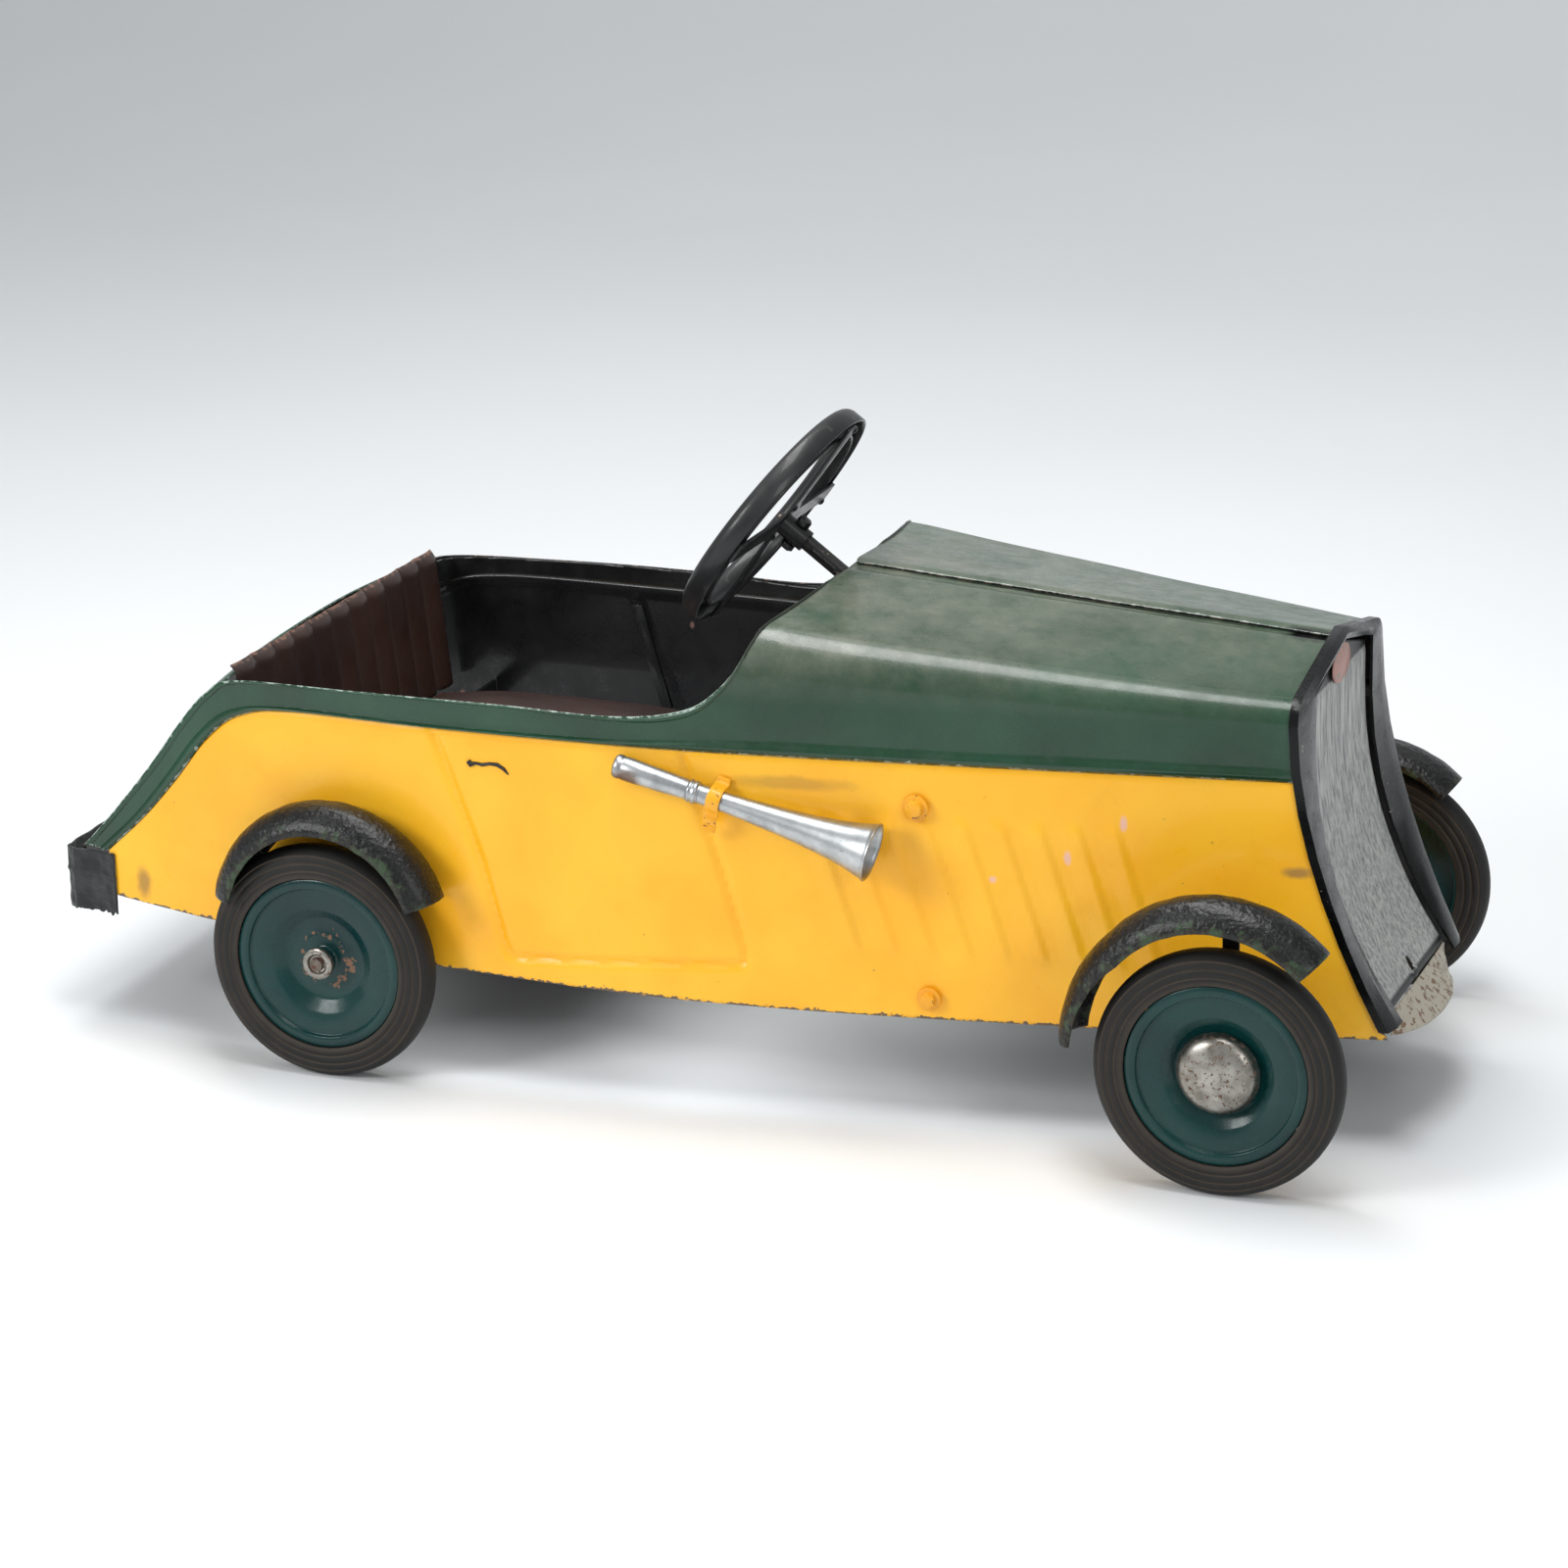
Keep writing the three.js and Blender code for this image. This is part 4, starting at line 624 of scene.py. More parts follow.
def apron(u, v):
    across = 2 * v - 1
    z = 94 + (74 - 94) * u + 4 * u * abs(across) ** 3
    bent = 1.4 * noise.noise(Vector((u * 4, v * 7, 9))) * u
    return (776.2 + 21 * u * (1 - across**2) ** 0.8 + bent, across * GRILLE_HALF, z + bent * 0.5)


worn_primer = chipped_enamel(
    "flaking_primer_over_rust", "aaa394", "c3beb2", "77604c", chips=0.66, dirt=0.75, roughness=0.55,
    grime="4d3a2c", peel=0.5,
)
chin = sheet_grid(24, 120, apron, (1, 0, 0), lambda u, v: 0.35)
fit_piece(chin, "bent_apron", "body", [worn_primer], ["chin_apron"], thick=SHEET)

badge_enamel = chipped_enamel(
    "worn_red_enamel", "a3675c", "b78a80", "8a8378", chips=0.56, dirt=0.5, roughness=0.5,
    grime="5b4a42",
)
dressed("badge", badge_enamel, "body", broken=0.5)


# ---------------------------------------------------------------- seat
# The back is a sheet pressed into eleven upright pleats with its head rolled over, and the seat is
# a crowned pressing on two rails. Both are painted satin brown over black.

brown_enamel = chipped_enamel(
    "satin_brown_enamel", "2c1b16", "3a241c", "6a4a3a", chips=0.72, dirt=0.55, roughness=0.42,
    grime="171310",
)
PLEATS = 11


def pleated(u, v):
    z = 188 + 111 * v
    pleat = abs(math.sin(u * PLEATS * math.pi)) ** 0.6 * 5.5 - 2.5
    roll = max(0, z - 290)
    lean = -83 + 12 * (1 - v)
    y = (2 * u - 1) * (half_width(-83) - 2 * SHEET - 10)
    return (lean + pleat * min(1, (299 - z) / 8 + 0.25) - roll**2 * 0.06, y, z - roll * 0.15)


back = sheet_grid(264, 40, pleated, (1, 0, 0), lambda u, v: max(0, 1 - (1 - v) * 25))
fit_piece(back, "pleated_back", "body", [brown_enamel], ["seat_back"], crease=60, thick=2)


def crowned(u, v):
    a, b = 2 * u - 1, 2 * v - 1
    rise = 32 * (1 - a**4) * (1 - b * b)
    ring = 0.8 * math.exp(-(((max(abs(a), abs(b)) - 0.86) / 0.03) ** 2))
    return (-62 + 258 * u, b * 142 * (1 - 0.12 * a**4), 192 + rise + ring)


seat = sheet_grid(80, 80, crowned, (0, 0, 1), lambda u, v: max(0, 1 - min(u, v, 1 - u, 1 - v) * 60))
fit_piece(seat, "crowned_seat", "body", [brown_enamel], ["seat"], thick=2)


# ---------------------------------------------------------------- wheels
# A solid rubber tyre is stretched over a dished steel disc. The tyre's walls are ringed with mould
# grooves that have filled with brown dust; the disc is enamelled dark teal and worn at its boss.

WHEELBASE, HALF_TRACK, WHEEL_RADIUS = 689, 215, 90


def spun(profile, steps, matrix, upright=False):
    """Spins a chain of (radius, distance along the axis) about y, or z, and takes it to its place."""
    bm = bmesh.new()
    chain = [bm.verts.new((r, 0, a) if upright else (r, a, 0)) for r, a in profile]
    edges = [bm.edges.new(pair) for pair in zip(chain[:-1], chain[1:])]
    bmesh.ops.spin(bm, geom=chain + edges, cent=(0, 0, 0), axis=(0, 0, 1) if upright else (0, 1, 0),
                   angle=math.tau, steps=steps, use_merge=True)
    bmesh.ops.remove_doubles(bm, verts=bm.verts, dist=0.001)
    bmesh.ops.recalc_face_normals(bm, faces=bm.faces)
    bmesh.ops.transform(bm, matrix=matrix, verts=bm.verts)
    return bm


def turned(profile, centre, side=1, steps=96):
    """The same about a line across the car, with distances outwards."""
    return spun([(r, side * a) for r, a in profile], steps, Matrix.Translation(centre))


def dusty_rubber(name, colour, dust):
    """Solid rubber: matt, brown dust in the mould rings and scuffs on the tread."""
    material, shader, place = start_material(name, Roughness=0.62, Specular_IOR_Level=0.35)
    patch = add_node(material, "ShaderNodeTexNoise", {"Scale": 38, "Detail": 8, "Roughness": 0.7},
                     {"Vector": place})
    ring = add_node(material, "ShaderNodeAttribute", attribute_name="wear")
    level = add_node(material, "ShaderNodeMath", {1: 0.5, 2: 0.0}, {0: patch.outputs[0],
                     2: ring.outputs["Fac"]}, operation="MULTIPLY_ADD")
    settled = add_node(material, "ShaderNodeMapRange", {1: 0.28, 2: 1.15}, {0: level.outputs[0]})
    rubber = add_node(material, "ShaderNodeMix", {6: to_linear(colour), 7: to_linear(dust)},
                      {0: settled.outputs[0]}, data_type="RGBA")
    grit = add_node(material, "ShaderNodeTexNoise", {"Scale": 900, "Detail": 3}, {"Vector": place})
    relief = add_node(material, "ShaderNodeBump", {"Strength": 0.3, "Distance": 0.0004},
                      {"Height": grit.outputs[0]})
    return feed(material, shader, {"Base Color": rubber.outputs[2], "Normal": relief.outputs[0]})


tyre_rubber = dusty_rubber("solid_black_rubber", "1a1918", "4e4337")
teal_enamel = chipped_enamel(
    "dark_teal_enamel_on_discs", "0b3836", "092a2c", "7c5a44", chips=0.755, dirt=0.35, gloss=0.1,
    roughness=0.16, grime="1a2020", peel=0.15,
)
TYRE_WALL = [(66.3, -11), (67.5, -12), (71.5, -12.4), (72.6, -11.5), (73.7, -12.4), (77.4, -12.3),
             (78.4, -11.3), (79.4, -12.1), (83, -11.4), (84, -10.4), (85, -10.6), (87.6, -8.4),
             (89.2, -5.6), (89.9, -2.5)]
DISC = [(65.9, -9.8), (65.9, 9.2), (65.2, 10), (58.6, 10), (57.9, 9.4), (57.6, 7.6), (56.8, 7),
        (55.4, 7.1), (42, 5.2), (40, 4.4), (33.2, -1.2), (31, -2), (21, -2.2), (19.6, -1.6),
        (18.6, -1.4), (11, -1.4), (9.6, -0.8), (9, 0.2), (9, 6.2), (8.4, 7), (5.2, 7), (5.2, -10),
        (9, -10), (9, -3.8), (30.2, -3.8), (32, -3.2), (39.4, 3.1), (41.5, 3.6), (56, 5.2),
        (64.3, 6.8), (64.3, -9.8)]


def tyre(x, side):
    walls = TYRE_WALL + [(r, -a) for r, a in reversed(TYRE_WALL)]
    bm = turned(walls + [walls[0]], (x, side * HALF_TRACK, WHEEL_RADIUS), side)
    ringed = bm.verts.layers.float.new("wear")
    for vert in bm.verts:
        radius = math.hypot(vert.co.x - x, vert.co.z - WHEEL_RADIUS)
        groove = min(abs(radius - r) for r in (72.6, 78.4, 84, 67))
        vert[ringed] = 0.7 * max(0, 1 - groove / 1.1)
    return bm


for end, x, body in (("front", WHEELBASE, "front_wheel_{}"), ("rear", 0, "rear_wheel_{}")):
    for name, side in SIDES:
        rides = "rear_axle" if (end, name) == ("rear", "right") else body.format(name)
        fit_piece(tyre(x, side), f"{end}_{name}_tyre", rides, [tyre_rubber],
                  [f"{end}_tyre_{name}"], crease=50)
        disc = turned(DISC + [DISC[0]], (x, side * HALF_TRACK, WHEEL_RADIUS), side)
        worn = disc.verts.layers.float.new("wear")
        for vert in disc.verts:
            radius = math.hypot(vert.co.x - x, vert.co.z - WHEEL_RADIUS)
            boss = max(0, 1 - abs(radius - 20) / 11) * (0.75 if end == "rear" else 0.3)
            vert[worn] = max(boss, 0.35 * max(0, 1 - abs(radius - 64) / 2))
        fit_piece(disc, f"{end}_{name}_disc", rides, [teal_enamel],
                  [f"{end}_disc_{name}"], crease=50)


# ---------------------------------------------------------------- hub caps and axle ends
# A pressed cap, plated and now dull with rust freckles, snaps over each front hub. At the rear a steel
# push ring holds the wheel on the bare end of the axle.

def freckled_metal(name, colour, tone, rust, amount, roughness):
    """Old plating or bare steel: cloudy, with rust freckles from 1 to 4 mm across."""
    material, shader, place = start_material(name, Metallic=1.0)
    cloud = add_node(material, "ShaderNodeTexNoise", {"Scale": 70, "Detail": 6}, {"Vector": place})
    cloudy = add_node(material, "ShaderNodeMapRange", {1: 0.38, 2: 0.66}, {0: cloud.outputs[0]})
    metal = add_node(material, "ShaderNodeMix", {6: to_linear(colour), 7: to_linear(tone)},
                     {0: cloudy.outputs[0]}, data_type="RGBA")
    freckle = add_node(material, "ShaderNodeTexNoise", {"Scale": 330, "Detail": 7, "Roughness": 0.68},
                       {"Vector": place})
    rusted = add_node(material, "ShaderNodeMapRange", {1: 0.78 - amount, 2: 0.83 - amount},
                      {0: freckle.outputs[0]})
    surface = add_node(material, "ShaderNodeMix", {7: to_linear(rust)},
                       {0: rusted.outputs[0], 6: metal.outputs[2]}, data_type="RGBA")
    dull = add_node(material, "ShaderNodeMapRange", {3: roughness, 4: 0.85}, {0: rusted.outputs[0]})
    bright = add_node(material, "ShaderNodeMapRange", {3: 1.0, 4: 0.15}, {0: rusted.outputs[0]})
    relief = add_node(material, "ShaderNodeBump", {"Strength": 0.3, "Distance": 0.0003},
                      {"Height": freckle.outputs[0]})
    return feed(material, shader, {"Base Color": surface.outputs[2], "Roughness": dull.outputs[0],
                                   "Metallic": bright.outputs[0], "Normal": relief.outputs[0]})


dull_chrome = freckled_metal("dull_nickel_plating", "a9a69f", "77736c", "5c4331", 0.22, 0.33)
bare_steel = freckled_metal("bare_rusty_steel", "7b736b", "564c44", "5a3626", 0.26, 0.42)
CAP = [(29.9, 2), (29.9, 3.2), (29.1, 4.4), (28.7, 6.6), (27, 9.6), (23, 12), (16.5, 13.8),
       (9, 14.7), (0, 15)]
for name, side in SIDES:
    hub = (WHEELBASE, side * HALF_TRACK, WHEEL_RADIUS)
    cap = turned(CAP + [(0, 13.8), (22, 10.9), (27.2, 6.4), (27.8, 2), (29.9, 2)], hub, side, 64)
    fit_piece(cap, f"hub_cap_{name}", f"front_wheel_{name}", [dull_chrome],
              [f"hubcap_{name}"], crease=40)
    ring = turned([(5.3, 7.3), (11.2, 7.3), (12, 8), (12, 11.2), (11, 12), (8, 12), (6.6, 10.6),
                   (5.3, 10.6), (5.3, 7.3)], (0, side * HALF_TRACK, WHEEL_RADIUS), side, 48)
    fit_piece(ring, f"push_ring_{name}", "rear_axle", [dull_chrome],
              [f"axle_cap_{name}"], crease=40)


# ---------------------------------------------------------------- mudguards
# Four short channels are rolled over the tyres from heavier steel. Their black is thick, wrinkled and
# worn through to brown and to an old green at the edges.

def wrinkled_black(name):
    """Thick black paint, dried in wrinkles of about 3 mm, worn through at the edges."""
    material, shader, place = start_material(name, Coat_Weight=0.1, Coat_Roughness=0.15,
                                              Specular_IOR_Level=0.35)
    lump = add_node(material, "ShaderNodeTexVoronoi", {"Scale": 260, "Randomness": 1.0},
                    {"Vector": place}, feature="SMOOTH_F1")
    fine = add_node(material, "ShaderNodeTexNoise", {"Scale": 420, "Detail": 6}, {"Vector": place})
    height = add_node(material, "ShaderNodeMath", links={0: lump.outputs[0], 1: fine.outputs[0]},
                      operation="ADD")
    edge = add_node(material, "ShaderNodeAttribute", attribute_name="wear")
    patch = add_node(material, "ShaderNodeTexNoise", {"Scale": 90, "Detail": 8, "Roughness": 0.68},
                     {"Vector": place})
    gain = add_node(material, "ShaderNodeMath", {1: 0.22}, {0: edge.outputs["Fac"],
                    2: patch.outputs[0]}, operation="MULTIPLY_ADD")
    through = add_node(material, "ShaderNodeMapRange", {1: 0.66, 2: 0.8}, {0: gain.outputs[0]})
    hue = add_node(material, "ShaderNodeMapRange", {1: 0.44, 2: 0.56}, {0: patch.outputs[0]})
    under = add_node(material, "ShaderNodeMix", {6: to_linear("5c4433"), 7: to_linear("33452f")},
                     {0: hue.outputs[0]}, data_type="RGBA")
    paint = add_node(material, "ShaderNodeMix", {6: to_linear("0d0e0e")},
                     {0: through.outputs[0], 7: under.outputs[2]}, data_type="RGBA")
    shine = add_node(material, "ShaderNodeMapRange", {1: 0.3, 2: 0.7, 3: 0.2, 4: 0.42},
                     {0: patch.outputs[0]})
    relief = add_node(material, "ShaderNodeBump", {"Strength": 0.85, "Distance": 0.0009},
                      {"Height": height.outputs[0]})
    return feed(material, shader, {"Base Color": paint.outputs[2], "Roughness": shine.outputs[0],
                                   "Normal": relief.outputs[0]})


guard_black = wrinkled_black("wrinkled_black_paint")
REAR_GUARD = dict(x=8, z=119, crown=95, drop=20, foot_drop=20, flare=0, first=169, last=18)
GUARDS = {
    "front_right": dict(x=WHEELBASE - 2, z=112, crown=106, drop=20, foot_drop=12, flare=7,
                        first=185, last=43, side=-1),
    "front_left": dict(x=WHEELBASE - 7, z=98, crown=105, drop=13, foot_drop=12, flare=5,
                       first=185, last=47, side=1),
    "rear_right": dict(REAR_GUARD, side=-1),
    "rear_left": dict(REAR_GUARD, side=1),
}


def guard(x, z, crown, drop, foot_drop, flare, first, last, side):
    def place(u, v):
        angle = first + (last - first) * u
        across = 2 * v - 1
        dome = math.sqrt(1 - 0.96 * across**2)
        to_foot = max(0, (angle - 140) / (first - 140))
        deep = drop + (foot_drop - drop) * to_foot
        rough = 0.5 * noise.noise(Vector((u * 22, v * 5, side)))
        radius = crown + flare * to_foot - deep * (1 - dome) / 0.8 + rough
        turn = math.radians(angle)
        return (x + radius * math.cos(turn), side * HALF_TRACK + across * 23.5,
                z + radius * math.sin(turn))

    def wear(u, v):
        ends = min(u, 1 - u) * 240
        rims = min(v, 1 - v) * 60
        return max(0, 1 - min(ends, rims) / 9)

    return sheet_grid(130, 34, place, (0, 0, 1), wear)


for corner, numbers in GUARDS.items():
    fit_piece(guard(**numbers), f"{corner}_guard", "body", [guard_black],
              [corner.replace("_", "_mudguard_")], crease=60, thick=1.6)


# ---------------------------------------------------------------- steering wheel and column
# The rim is a rolled steel channel, round towards the driver and open behind. Four flat spokes are
# riveted to its back edge and to a socket, which a cross bolt clamps on the column.

RAKE = math.radians(36.5)
WHEEL_CENTRE = Vector((278, 0, 401))
wheel_black = chipped_enamel(
    "satin_black_on_steering", "151617", "222324", "7c736b", chips=0.725, dirt=0.5, roughness=0.33,
    grime="3a3330",
)
to_wheel = Matrix.Translation(WHEEL_CENTRE) @ Matrix.Rotation(RAKE - math.pi / 2, 4, "Y")


MID_RIM = 88.5
arch_out = [(MID_RIM + 8.5 * math.cos(t * math.pi / 14), 8.5 * math.sin(t * math.pi / 14))
            for t in range(15)]
arch_in = [(MID_RIM + 6.5 * math.cos(t * math.pi / 10), 6.5 * math.sin(t * math.pi / 10))
           for t in range(10, -1, -1)]
channel = arch_out + [(80, -9), (80.5, -9.5), (81.5, -9.5), (82, -9)] + arch_in
channel += [(95, -9), (95.5, -9.5), (96.5, -9.5), (97, -9), (97, 0)]
rim = spun(channel, 112, to_wheel, upright=True)
fit_piece(rim, "rolled_rim", "steering", [wheel_black], ["steering_rim"], crease=50)

dressed("steering_spokes", wheel_black, "steering", broken=0.6)
dressed("clamp_bolt", wheel_black, "steering", broken=0.6)

column_black = chipped_enamel(
    "mottled_black_on_column", "1b1b1b", "2e2a28", "77675a", chips=0.62, dirt=0.7, roughness=0.4,
    grime="4a3c33",
)
dressed("steering_column", column_black, "steering", broken=0.5)

RIVET = [(0, 1.6), (1.4, 1.4), (2.5, 0.7), (3, 0), (3, -0.6), (0, -0.6)]
for number in range(4):
    for spot, reach in (("rim", 91), ("hub", 14.5)):
        turn = Matrix.Rotation(number * math.pi / 2 + 0.09, 4, "Z")
        where = to_wheel @ turn @ Matrix.Translation((reach, 0, -12.2)) @ Matrix.Rotation(math.pi, 4, "X")
        rivet = spun(RIVET, 16, where, upright=True)
        fit_piece(rivet, f"spoke_rivet_{spot}_{number}", "steering", [wheel_black])


# ---------------------------------------------------------------- steering and drive gear
# Under the body everything is bare forged and sheared steel, rusted to a dark brown: knuckles on
# kingpins, a tie rod, the cranked rear axle, two push rods and two hanging pedals.

for name in ("right", "left"):
    dressed(f"knuckle_{name}", bare_steel, f"knuckle_{name}")
    dressed(f"kingpin_{name}", bare_steel, "body")
    dressed(f"push_rod_{name}", bare_steel, f"push_rod_{name}", broken=0.4)
    dressed(f"pedal_arm_{name}", bare_steel, f"pedal_{name}", broken=0.4)
dressed("tie_rod", bare_steel, "tie_rod", broken=0.4)
dressed("rear_axle", bare_steel, "rear_axle")


# ---------------------------------------------------------------- pedal pads
# Each pad is a moulded rubber block with a grip of cross grooves on all four faces.

PEDAL_X, PEDAL_Z = 448, 101
pad_rubber = dusty_rubber("moulded_pedal_rubber", "222120", "4c443b")
for name, side in SIDES:
    low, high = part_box(f"pedal_pad_{name}")
    span = (high.y - low.y) * 1000
    pad = bmesh.new()
    bmesh.ops.create_grid(pad, x_segments=4, y_segments=1, size=1)
    for vert in pad.verts:
        vert.co = (vert.co.x * 13, 0, vert.co.y * 7)
    made = bmesh.ops.extrude_face_region(pad, geom=pad.faces[:])
    moved = [g for g in made["geom"] if isinstance(g, bmesh.types.BMVert)]
    bmesh.ops.translate(pad, vec=(0, span, 0), verts=moved)
    bmesh.ops.recalc_face_normals(pad, faces=pad.faces)
    rings = 15
    for k in range(1, rings):
        bmesh.ops.bisect_plane(pad, geom=pad.verts[:] + pad.edges[:] + pad.faces[:],
                               plane_co=(0, span * k / rings, 0), plane_no=(0, 1, 0), dist=0.001)
    strips = [f for f in pad.faces if abs(f.normal.y) < 0.5
              and int(f.calc_center_median().y * rings / span) % 2]
    bmesh.ops.inset_region(pad, faces=strips, thickness=0.35, depth=-1.1, use_even_offset=True)
    bmesh.ops.translate(pad, vec=(PEDAL_X, low.y * 1000, PEDAL_Z), verts=pad.verts)
    fit_piece(pad, f"grooved_pad_{name}", f"pad_{name}", [pad_rubber],
              [f"pedal_pad_{name}"], crease=30)


# ---------------------------------------------------------------- bolts
# The pedals' cross rod and the lower strap bolts end outside in heads on washers, both painted over
# with the side. The upper head is round, the lower one a hexagon.

yellow_bolt = chipped_enamel(
    "yellow_enamel_over_bolts", "f3ad24", "e79c1a", "7a4a26", chips=0.62, dirt=0.35, roughness=0.32,
    grime="7a4a1c",
)
dressed("pedal_cross_rod", yellow_bolt, "body", broken=0.9, crease=32)
for name, side in SIDES:
    dressed(f"skirt_bolt_{name}", yellow_bolt, "body", broken=0.9, crease=32)


# ---------------------------------------------------------------- horn
# A bulb horn without its bulb: a spun aluminium bell pushed into a turned barrel, held on the right
# side by a bent steel clip that was painted with the body.

HORN_PLACE = (Matrix.Translation((232, -(half_width(232) + 10), 260))
              @ Matrix.Rotation(math.radians(3.6) - math.pi / 2, 4, "Z")
              @ Matrix.Rotation(-math.radians(14.4), 4, "X"))


def scratched_aluminium(name, colour, tone):
    """Spun aluminium: grey oxide, dark scratches and a rust stain by the bulb end."""
    material, shader, place = start_material(name, Metallic=1.0)
    cloud = add_node(material, "ShaderNodeTexNoise", {"Scale": 60, "Detail": 8, "Roughness": 0.65},
                     {"Vector": place})
    cloudy = add_node(material, "ShaderNodeMapRange", {1: 0.35, 2: 0.7}, {0: cloud.outputs[0]})
    metal = add_node(material, "ShaderNodeMix", {6: to_linear(colour), 7: to_linear(tone)},
                     {0: cloudy.outputs[0]}, data_type="RGBA")
    long = add_node(material, "ShaderNodeMapping", {"Scale": [0.18, 1, 1], "Rotation": [0, 0.25, 0]},
                    {"Vector": place})
    scratch = add_node(material, "ShaderNodeTexNoise", {"Scale": 520, "Detail": 5, "Roughness": 0.7},
                       {"Vector": long.outputs[0]})
    scored = add_node(material, "ShaderNodeMapRange", {1: 0.64, 2: 0.69}, {0: scratch.outputs[0]})
    surface = add_node(material, "ShaderNodeMix", {7: to_linear("3c3a38")},
                       {0: scored.outputs[0], 6: metal.outputs[2]}, data_type="RGBA")
    end = add_node(material, "ShaderNodeMapping", {
        "Location": [-c / h for c, h in zip(at(243, -200, 252), (0.011, 0.03, 0.008))],
        "Scale": [1 / h for h in (0.011, 0.03, 0.008)],
    }, {"Vector": place})
    far = add_node(material, "ShaderNodeVectorMath", links={0: end.outputs[0]}, operation="LENGTH")
    stain = add_node(material, "ShaderNodeMapRange", {1: 1.2, 2: 0.6, 4: 0.85}, {0: far.outputs["Value"]})
    surface = add_node(material, "ShaderNodeMix", {7: to_linear("6b5140")},
                       {0: stain.outputs[0], 6: surface.outputs[2]}, data_type="RGBA")
    dull = add_node(material, "ShaderNodeMapRange", {3: 0.27, 4: 0.5}, {0: cloud.outputs[0]})
    relief = add_node(material, "ShaderNodeBump", {"Strength": 0.25, "Distance": 0.0002},
                      {"Height": scratch.outputs[0]})
    return feed(material, shader, {"Base Color": surface.outputs[2], "Roughness": dull.outputs[0],
                                   "Normal": relief.outputs[0]})


horn_metal = scratched_aluminium("spun_aluminium", "c3c6c8", "93979a")
BARREL = [(2, 0.6), (6.4, 0), (7.8, 0.5), (8.8, 2), (8.9, 5), (8.4, 6), (8.4, 7), (8.8, 8), (8.7, 20),
          (8, 44), (7.5, 56), (7.3, 57), (8.3, 58), (8.5, 59), (7.8, 60), (7.8, 60.8), (8.6, 61.8),
          (8.6, 63.6), (8, 64.6), (7.3, 65), (7.3, 66), (2, 66), (2, 0.6)]
fit_piece(spun(BARREL, 72, HORN_PLACE), "horn_barrel_turned", "body", [horn_metal],
          ["horn_barrel"], crease=50)
BELL = [(7.2, 66.3), (7.2, 84), (7.5, 90), (8.1, 102), (9, 116), (10.1, 131), (11.5, 146), (13.1, 159),
        (15, 172), (17, 182.5), (19, 190.3), (20.2, 194.5), (20.8, 196.6), (21.6, 197.4), (21.8, 198.2),
        (21, 198.8), (20, 198.3), (19.4, 196), (18, 190.5), (16, 182.6), (14, 172.2), (12.1, 159.2),
        (10.5, 146.2), (9.1, 131.2), (8, 116), (7.1, 102), (6.4, 84), (6.2, 66.3), (7.2, 66.3)]
fit_piece(spun(BELL, 72, HORN_PLACE), "horn_bell_spun", "body", [horn_metal], ["horn_bell"],
          crease=50)

# The clip: from the side it loops over the horn, down its face and ends in a kinked tab.
CLIP_RUN = [(-10.2, 14), (-9.6, 10.5), (-7.4, 9.2), (-3, 8.6), (1, 8.7), (5, 7.2), (7.9, 4), (8.7, 0),
            (7.6, -4.6), (4.6, -7.8), (2.2, -9.6), (2.8, -12.6), (4.4, -15), (3.4, -18), (0.8, -20.4),
            (-1, -23), (-0.4, -26)]
CLIP_FROM_BARREL = 73.5
clip = bmesh.new()
chain = [clip.verts.new((x, 0, z)) for x, z in CLIP_RUN]
edges = [clip.edges.new(pair) for pair in zip(chain[:-1], chain[1:])]
made = bmesh.ops.extrude_edge_only(clip, edges=edges)
moved = [g for g in made["geom"] if isinstance(g, bmesh.types.BMVert)]
bmesh.ops.translate(clip, vec=(0, 10, 0), verts=moved)
bmesh.ops.subdivide_edges(clip, edges=clip.edges[:], cuts=2, use_grid_fill=True)
for vert in clip.verts:
    vert.co.y += 0.5 * noise.noise(vert.co / 6)
bmesh.ops.recalc_face_normals(clip, faces=clip.faces)
bmesh.ops.transform(clip, matrix=HORN_PLACE @ Matrix.Translation((0, CLIP_FROM_BARREL, 0)),
                    verts=clip.verts)
strap = fit_piece(clip, "bent_clip", "body", [yellow_bolt], ["horn_clip"], crease=60)
thickness = strap.modifiers.new("strip", "SOLIDIFY")
thickness.thickness, thickness.offset = 0.0011, 0
rounded = strap.modifiers.new("edges", "BEVEL")
rounded.width, rounded.segments = 0.0003, 2


# ---------------------------------------------------------------- handle residue
# Where the door's handle was, a crooked smear of black cement is left on the yellow.

smear = bpy.data.curves.new("cement_smear", "CURVE")
smear.dimensions = "3D"
smear.bevel_depth, smear.bevel_resolution = 1.5, 3
stroke = smear.splines.new("POLY")
marks = [(113, 249), (115, 246.5), (119, 247.8), (124, 247), (130, 248.4), (136, 248.2), (141, 245.5),
         (144.5, 241.5)]
stroke.points.add(len(marks) - 1)
for point, (x, z), size in zip(stroke.points, marks, (1.3, 1.5, 0.7, 0.9, 0.8, 1, 0.9, 0.4)):
    point.co = (x, -(half_width(x) + 0.2), z, 1)
    point.radius = size
holder = bpy.data.objects.new("cement_smear_curve", smear)
bpy.context.scene.collection.objects.link(holder)
bpy.context.view_layer.update()
blob = bmesh.new()
blob.from_mesh(bpy.data.meshes.new_from_object(holder))
bpy.data.objects.remove(holder)
bmesh.ops.remove_doubles(blob, verts=blob.verts, dist=0.01)
fit_piece(blob, "cement_smear", "body", [frame_black], crease=80)


# ---------------------------------------------------------------- room
# A pale floor that sweeps up behind, a long soft light overhead, two at the sides and one on the
# backdrop.

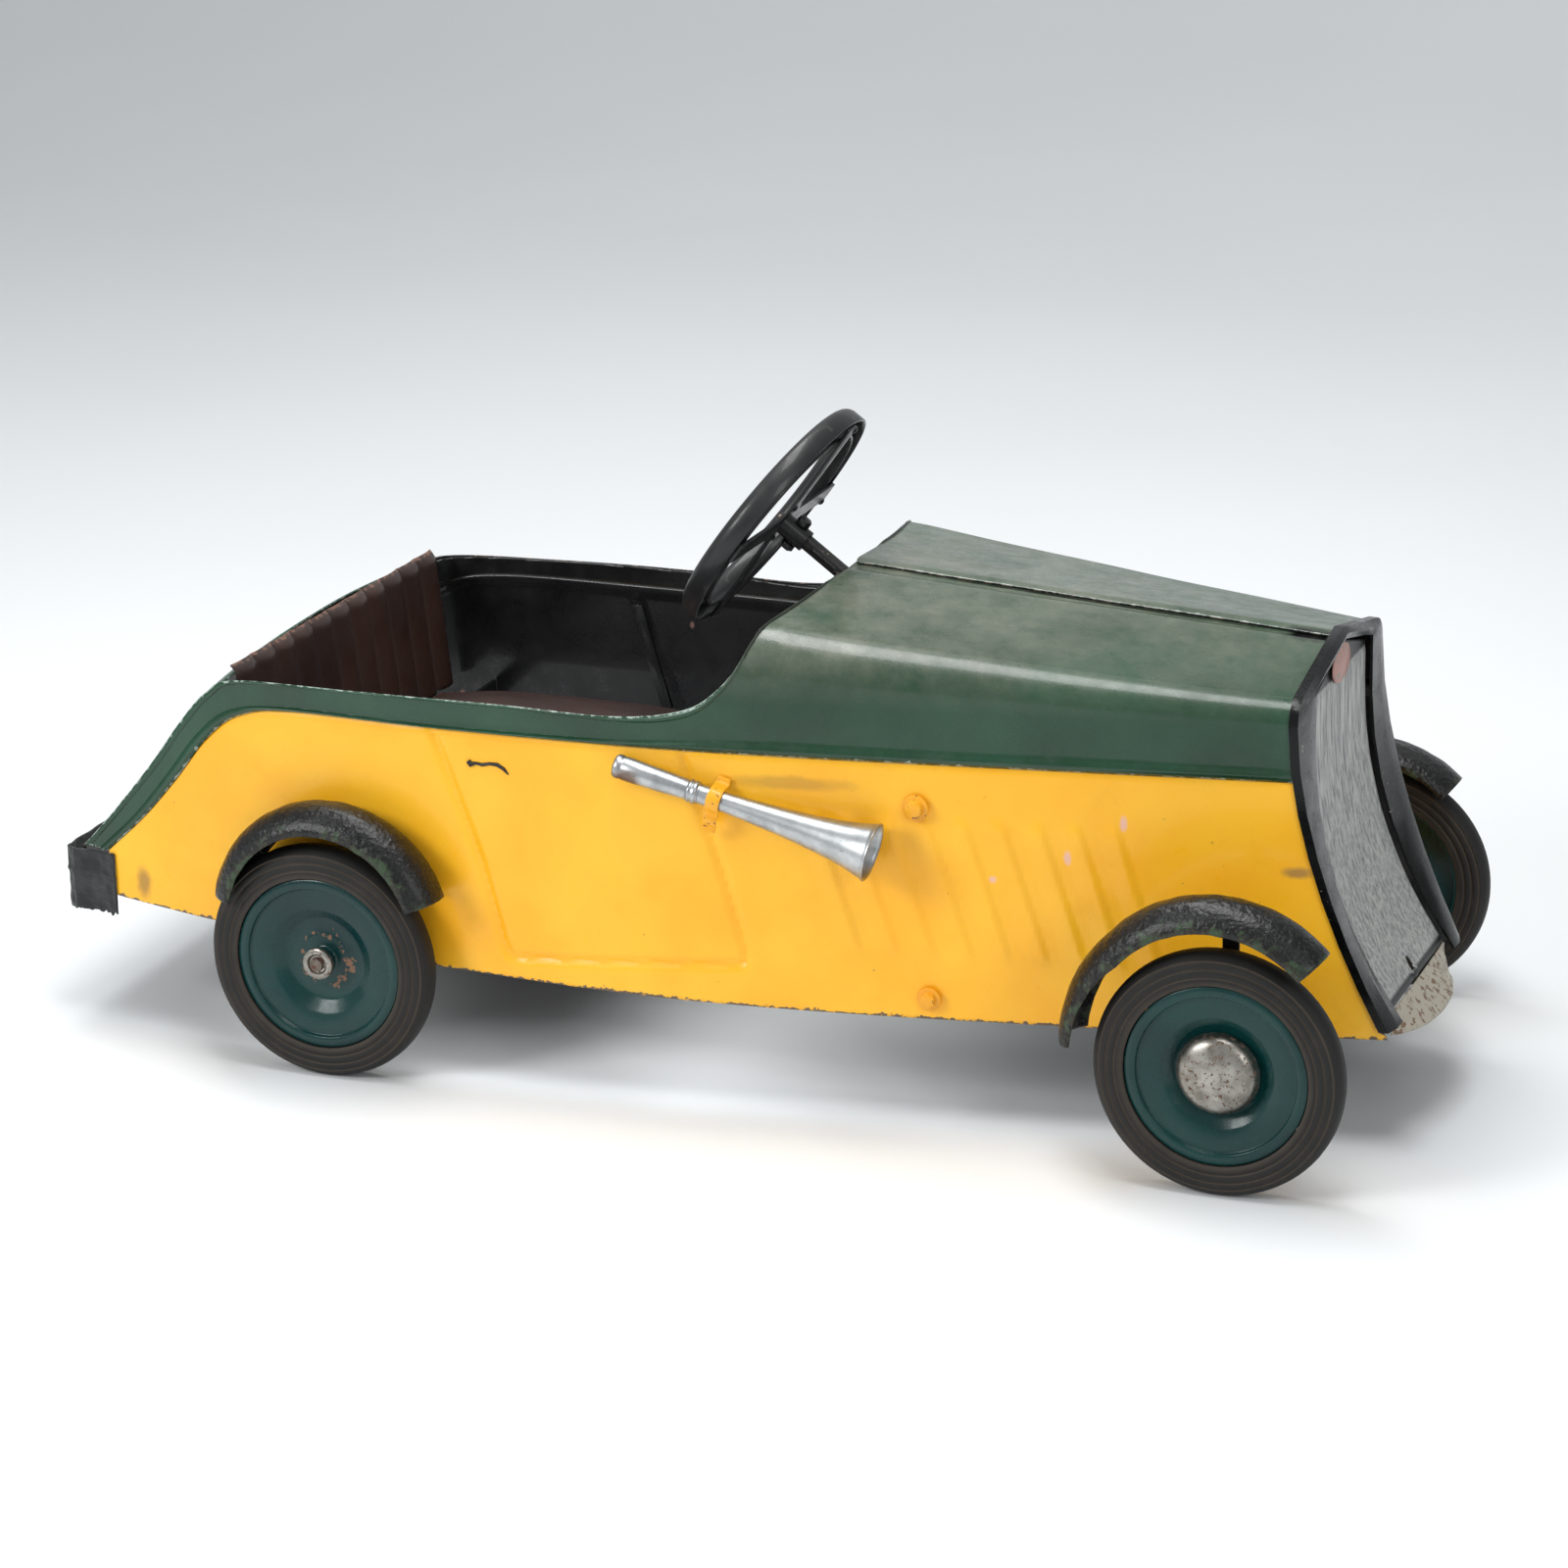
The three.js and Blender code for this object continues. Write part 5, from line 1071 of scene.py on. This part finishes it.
def pale_paper(name, colour):
    material, shader, place = start_material(name, Roughness=0.55)
    drift = add_node(material, "ShaderNodeTexNoise", {"Scale": 1.2, "Detail": 2}, {"Vector": place})
    tint = add_node(material, "ShaderNodeMix", {6: to_linear(colour), 7: to_linear("f2f5f7")},
                    {0: drift.outputs[0]}, data_type="RGBA")
    return feed(material, shader, {"Base Color": tint.outputs[2]})


floor = bmesh.new()
path = [(-1.6, 0), (-0.8, 0)] + [(0.6 * math.sin(t), 0.6 - 0.6 * math.cos(t))
        for t in [k * math.pi / 24 for k in range(13)]] + [(0.6, 4)]
chain = [floor.verts.new((-6, 3.2 * y + (2.6 if y > -0.1 else 0), z)) for y, z in path]
edges = [floor.edges.new(pair) for pair in zip(chain[:-1], chain[1:])]
made = bmesh.ops.extrude_edge_only(floor, edges=edges)
moved = [g for g in made["geom"] if isinstance(g, bmesh.types.BMVert)]
bmesh.ops.translate(floor, vec=(12, 0, 0), verts=moved)
mesh = bpy.data.meshes.new("floor")
floor.to_mesh(mesh)
floor.free()
mesh.materials.append(pale_paper("pale_backdrop_paper", "e8ebec"))
for polygon in mesh.polygons:
    polygon.use_smooth = True
ground = bpy.data.objects.new("floor", mesh)
bpy.context.scene.collection.objects.link(ground)

world = bpy.data.worlds.new("studio")
bpy.context.scene.world = world
world.use_nodes = True
world.node_tree.nodes["Background"].inputs["Color"].default_value = to_linear("f4f5f6")
world.node_tree.nodes["Background"].inputs["Strength"].default_value = 0.42


def soft_light(name, place, aim, size, power):
    lamp = bpy.data.lights.new(name, "AREA")
    lamp.shape, lamp.size, lamp.size_y, lamp.energy = "RECTANGLE", size[0], size[1], power
    made = bpy.data.objects.new(name, lamp)
    bpy.context.scene.collection.objects.link(made)
    made.location = place
    made.rotation_euler = (Vector(aim) - Vector(place)).to_track_quat("-Z", "Y").to_euler()


soft_light("overhead", (-0.1, -0.1, 2.3), (0, 0, 0.2), (2.4, 0.7), 46)
soft_light("left_side", (-1.9, -2.5, 1.8), (0, 0, 0.2), (1.2, 1.2), 54)
soft_light("right_side", (2.4, -2.0, 1.4), (0, 0, 0.2), (0.8, 1.0), 14)
soft_light("backdrop", (0.2, 1.2, 2.3), (-0.3, 2.8, 0.6), (3.0, 0.6), 15)
bpy.context.scene.view_settings.view_transform = "Standard"


# ---------------------------------------------------------------- camera
# A long lens a little above the car, ahead of its right side.

AZIMUTH, ELEVATION, ROLL = math.radians(21.63), math.radians(18.15), math.radians(-0.95)
back_way = Vector((math.sin(AZIMUTH) * math.cos(ELEVATION), -math.cos(AZIMUTH) * math.cos(ELEVATION),
                   math.sin(ELEVATION)))
right_way = Vector((math.cos(AZIMUTH), math.sin(AZIMUTH), 0))
up_way = back_way.cross(right_way)
right_tilted = right_way * math.cos(ROLL) + up_way * math.sin(ROLL)
up_tilted = up_way * math.cos(ROLL) - right_way * math.sin(ROLL)
lens = bpy.data.cameras.new("camera")
lens.lens, lens.sensor_width = 105.73, 36
camera = bpy.data.objects.new("camera", lens)
bpy.context.scene.collection.objects.link(camera)
turn = Matrix((right_tilted, up_tilted, back_way)).transposed().to_4x4()
camera.matrix_world = Matrix.Translation((1.22485, -3.0723, 1.2733)) @ turn
bpy.context.scene.camera = camera
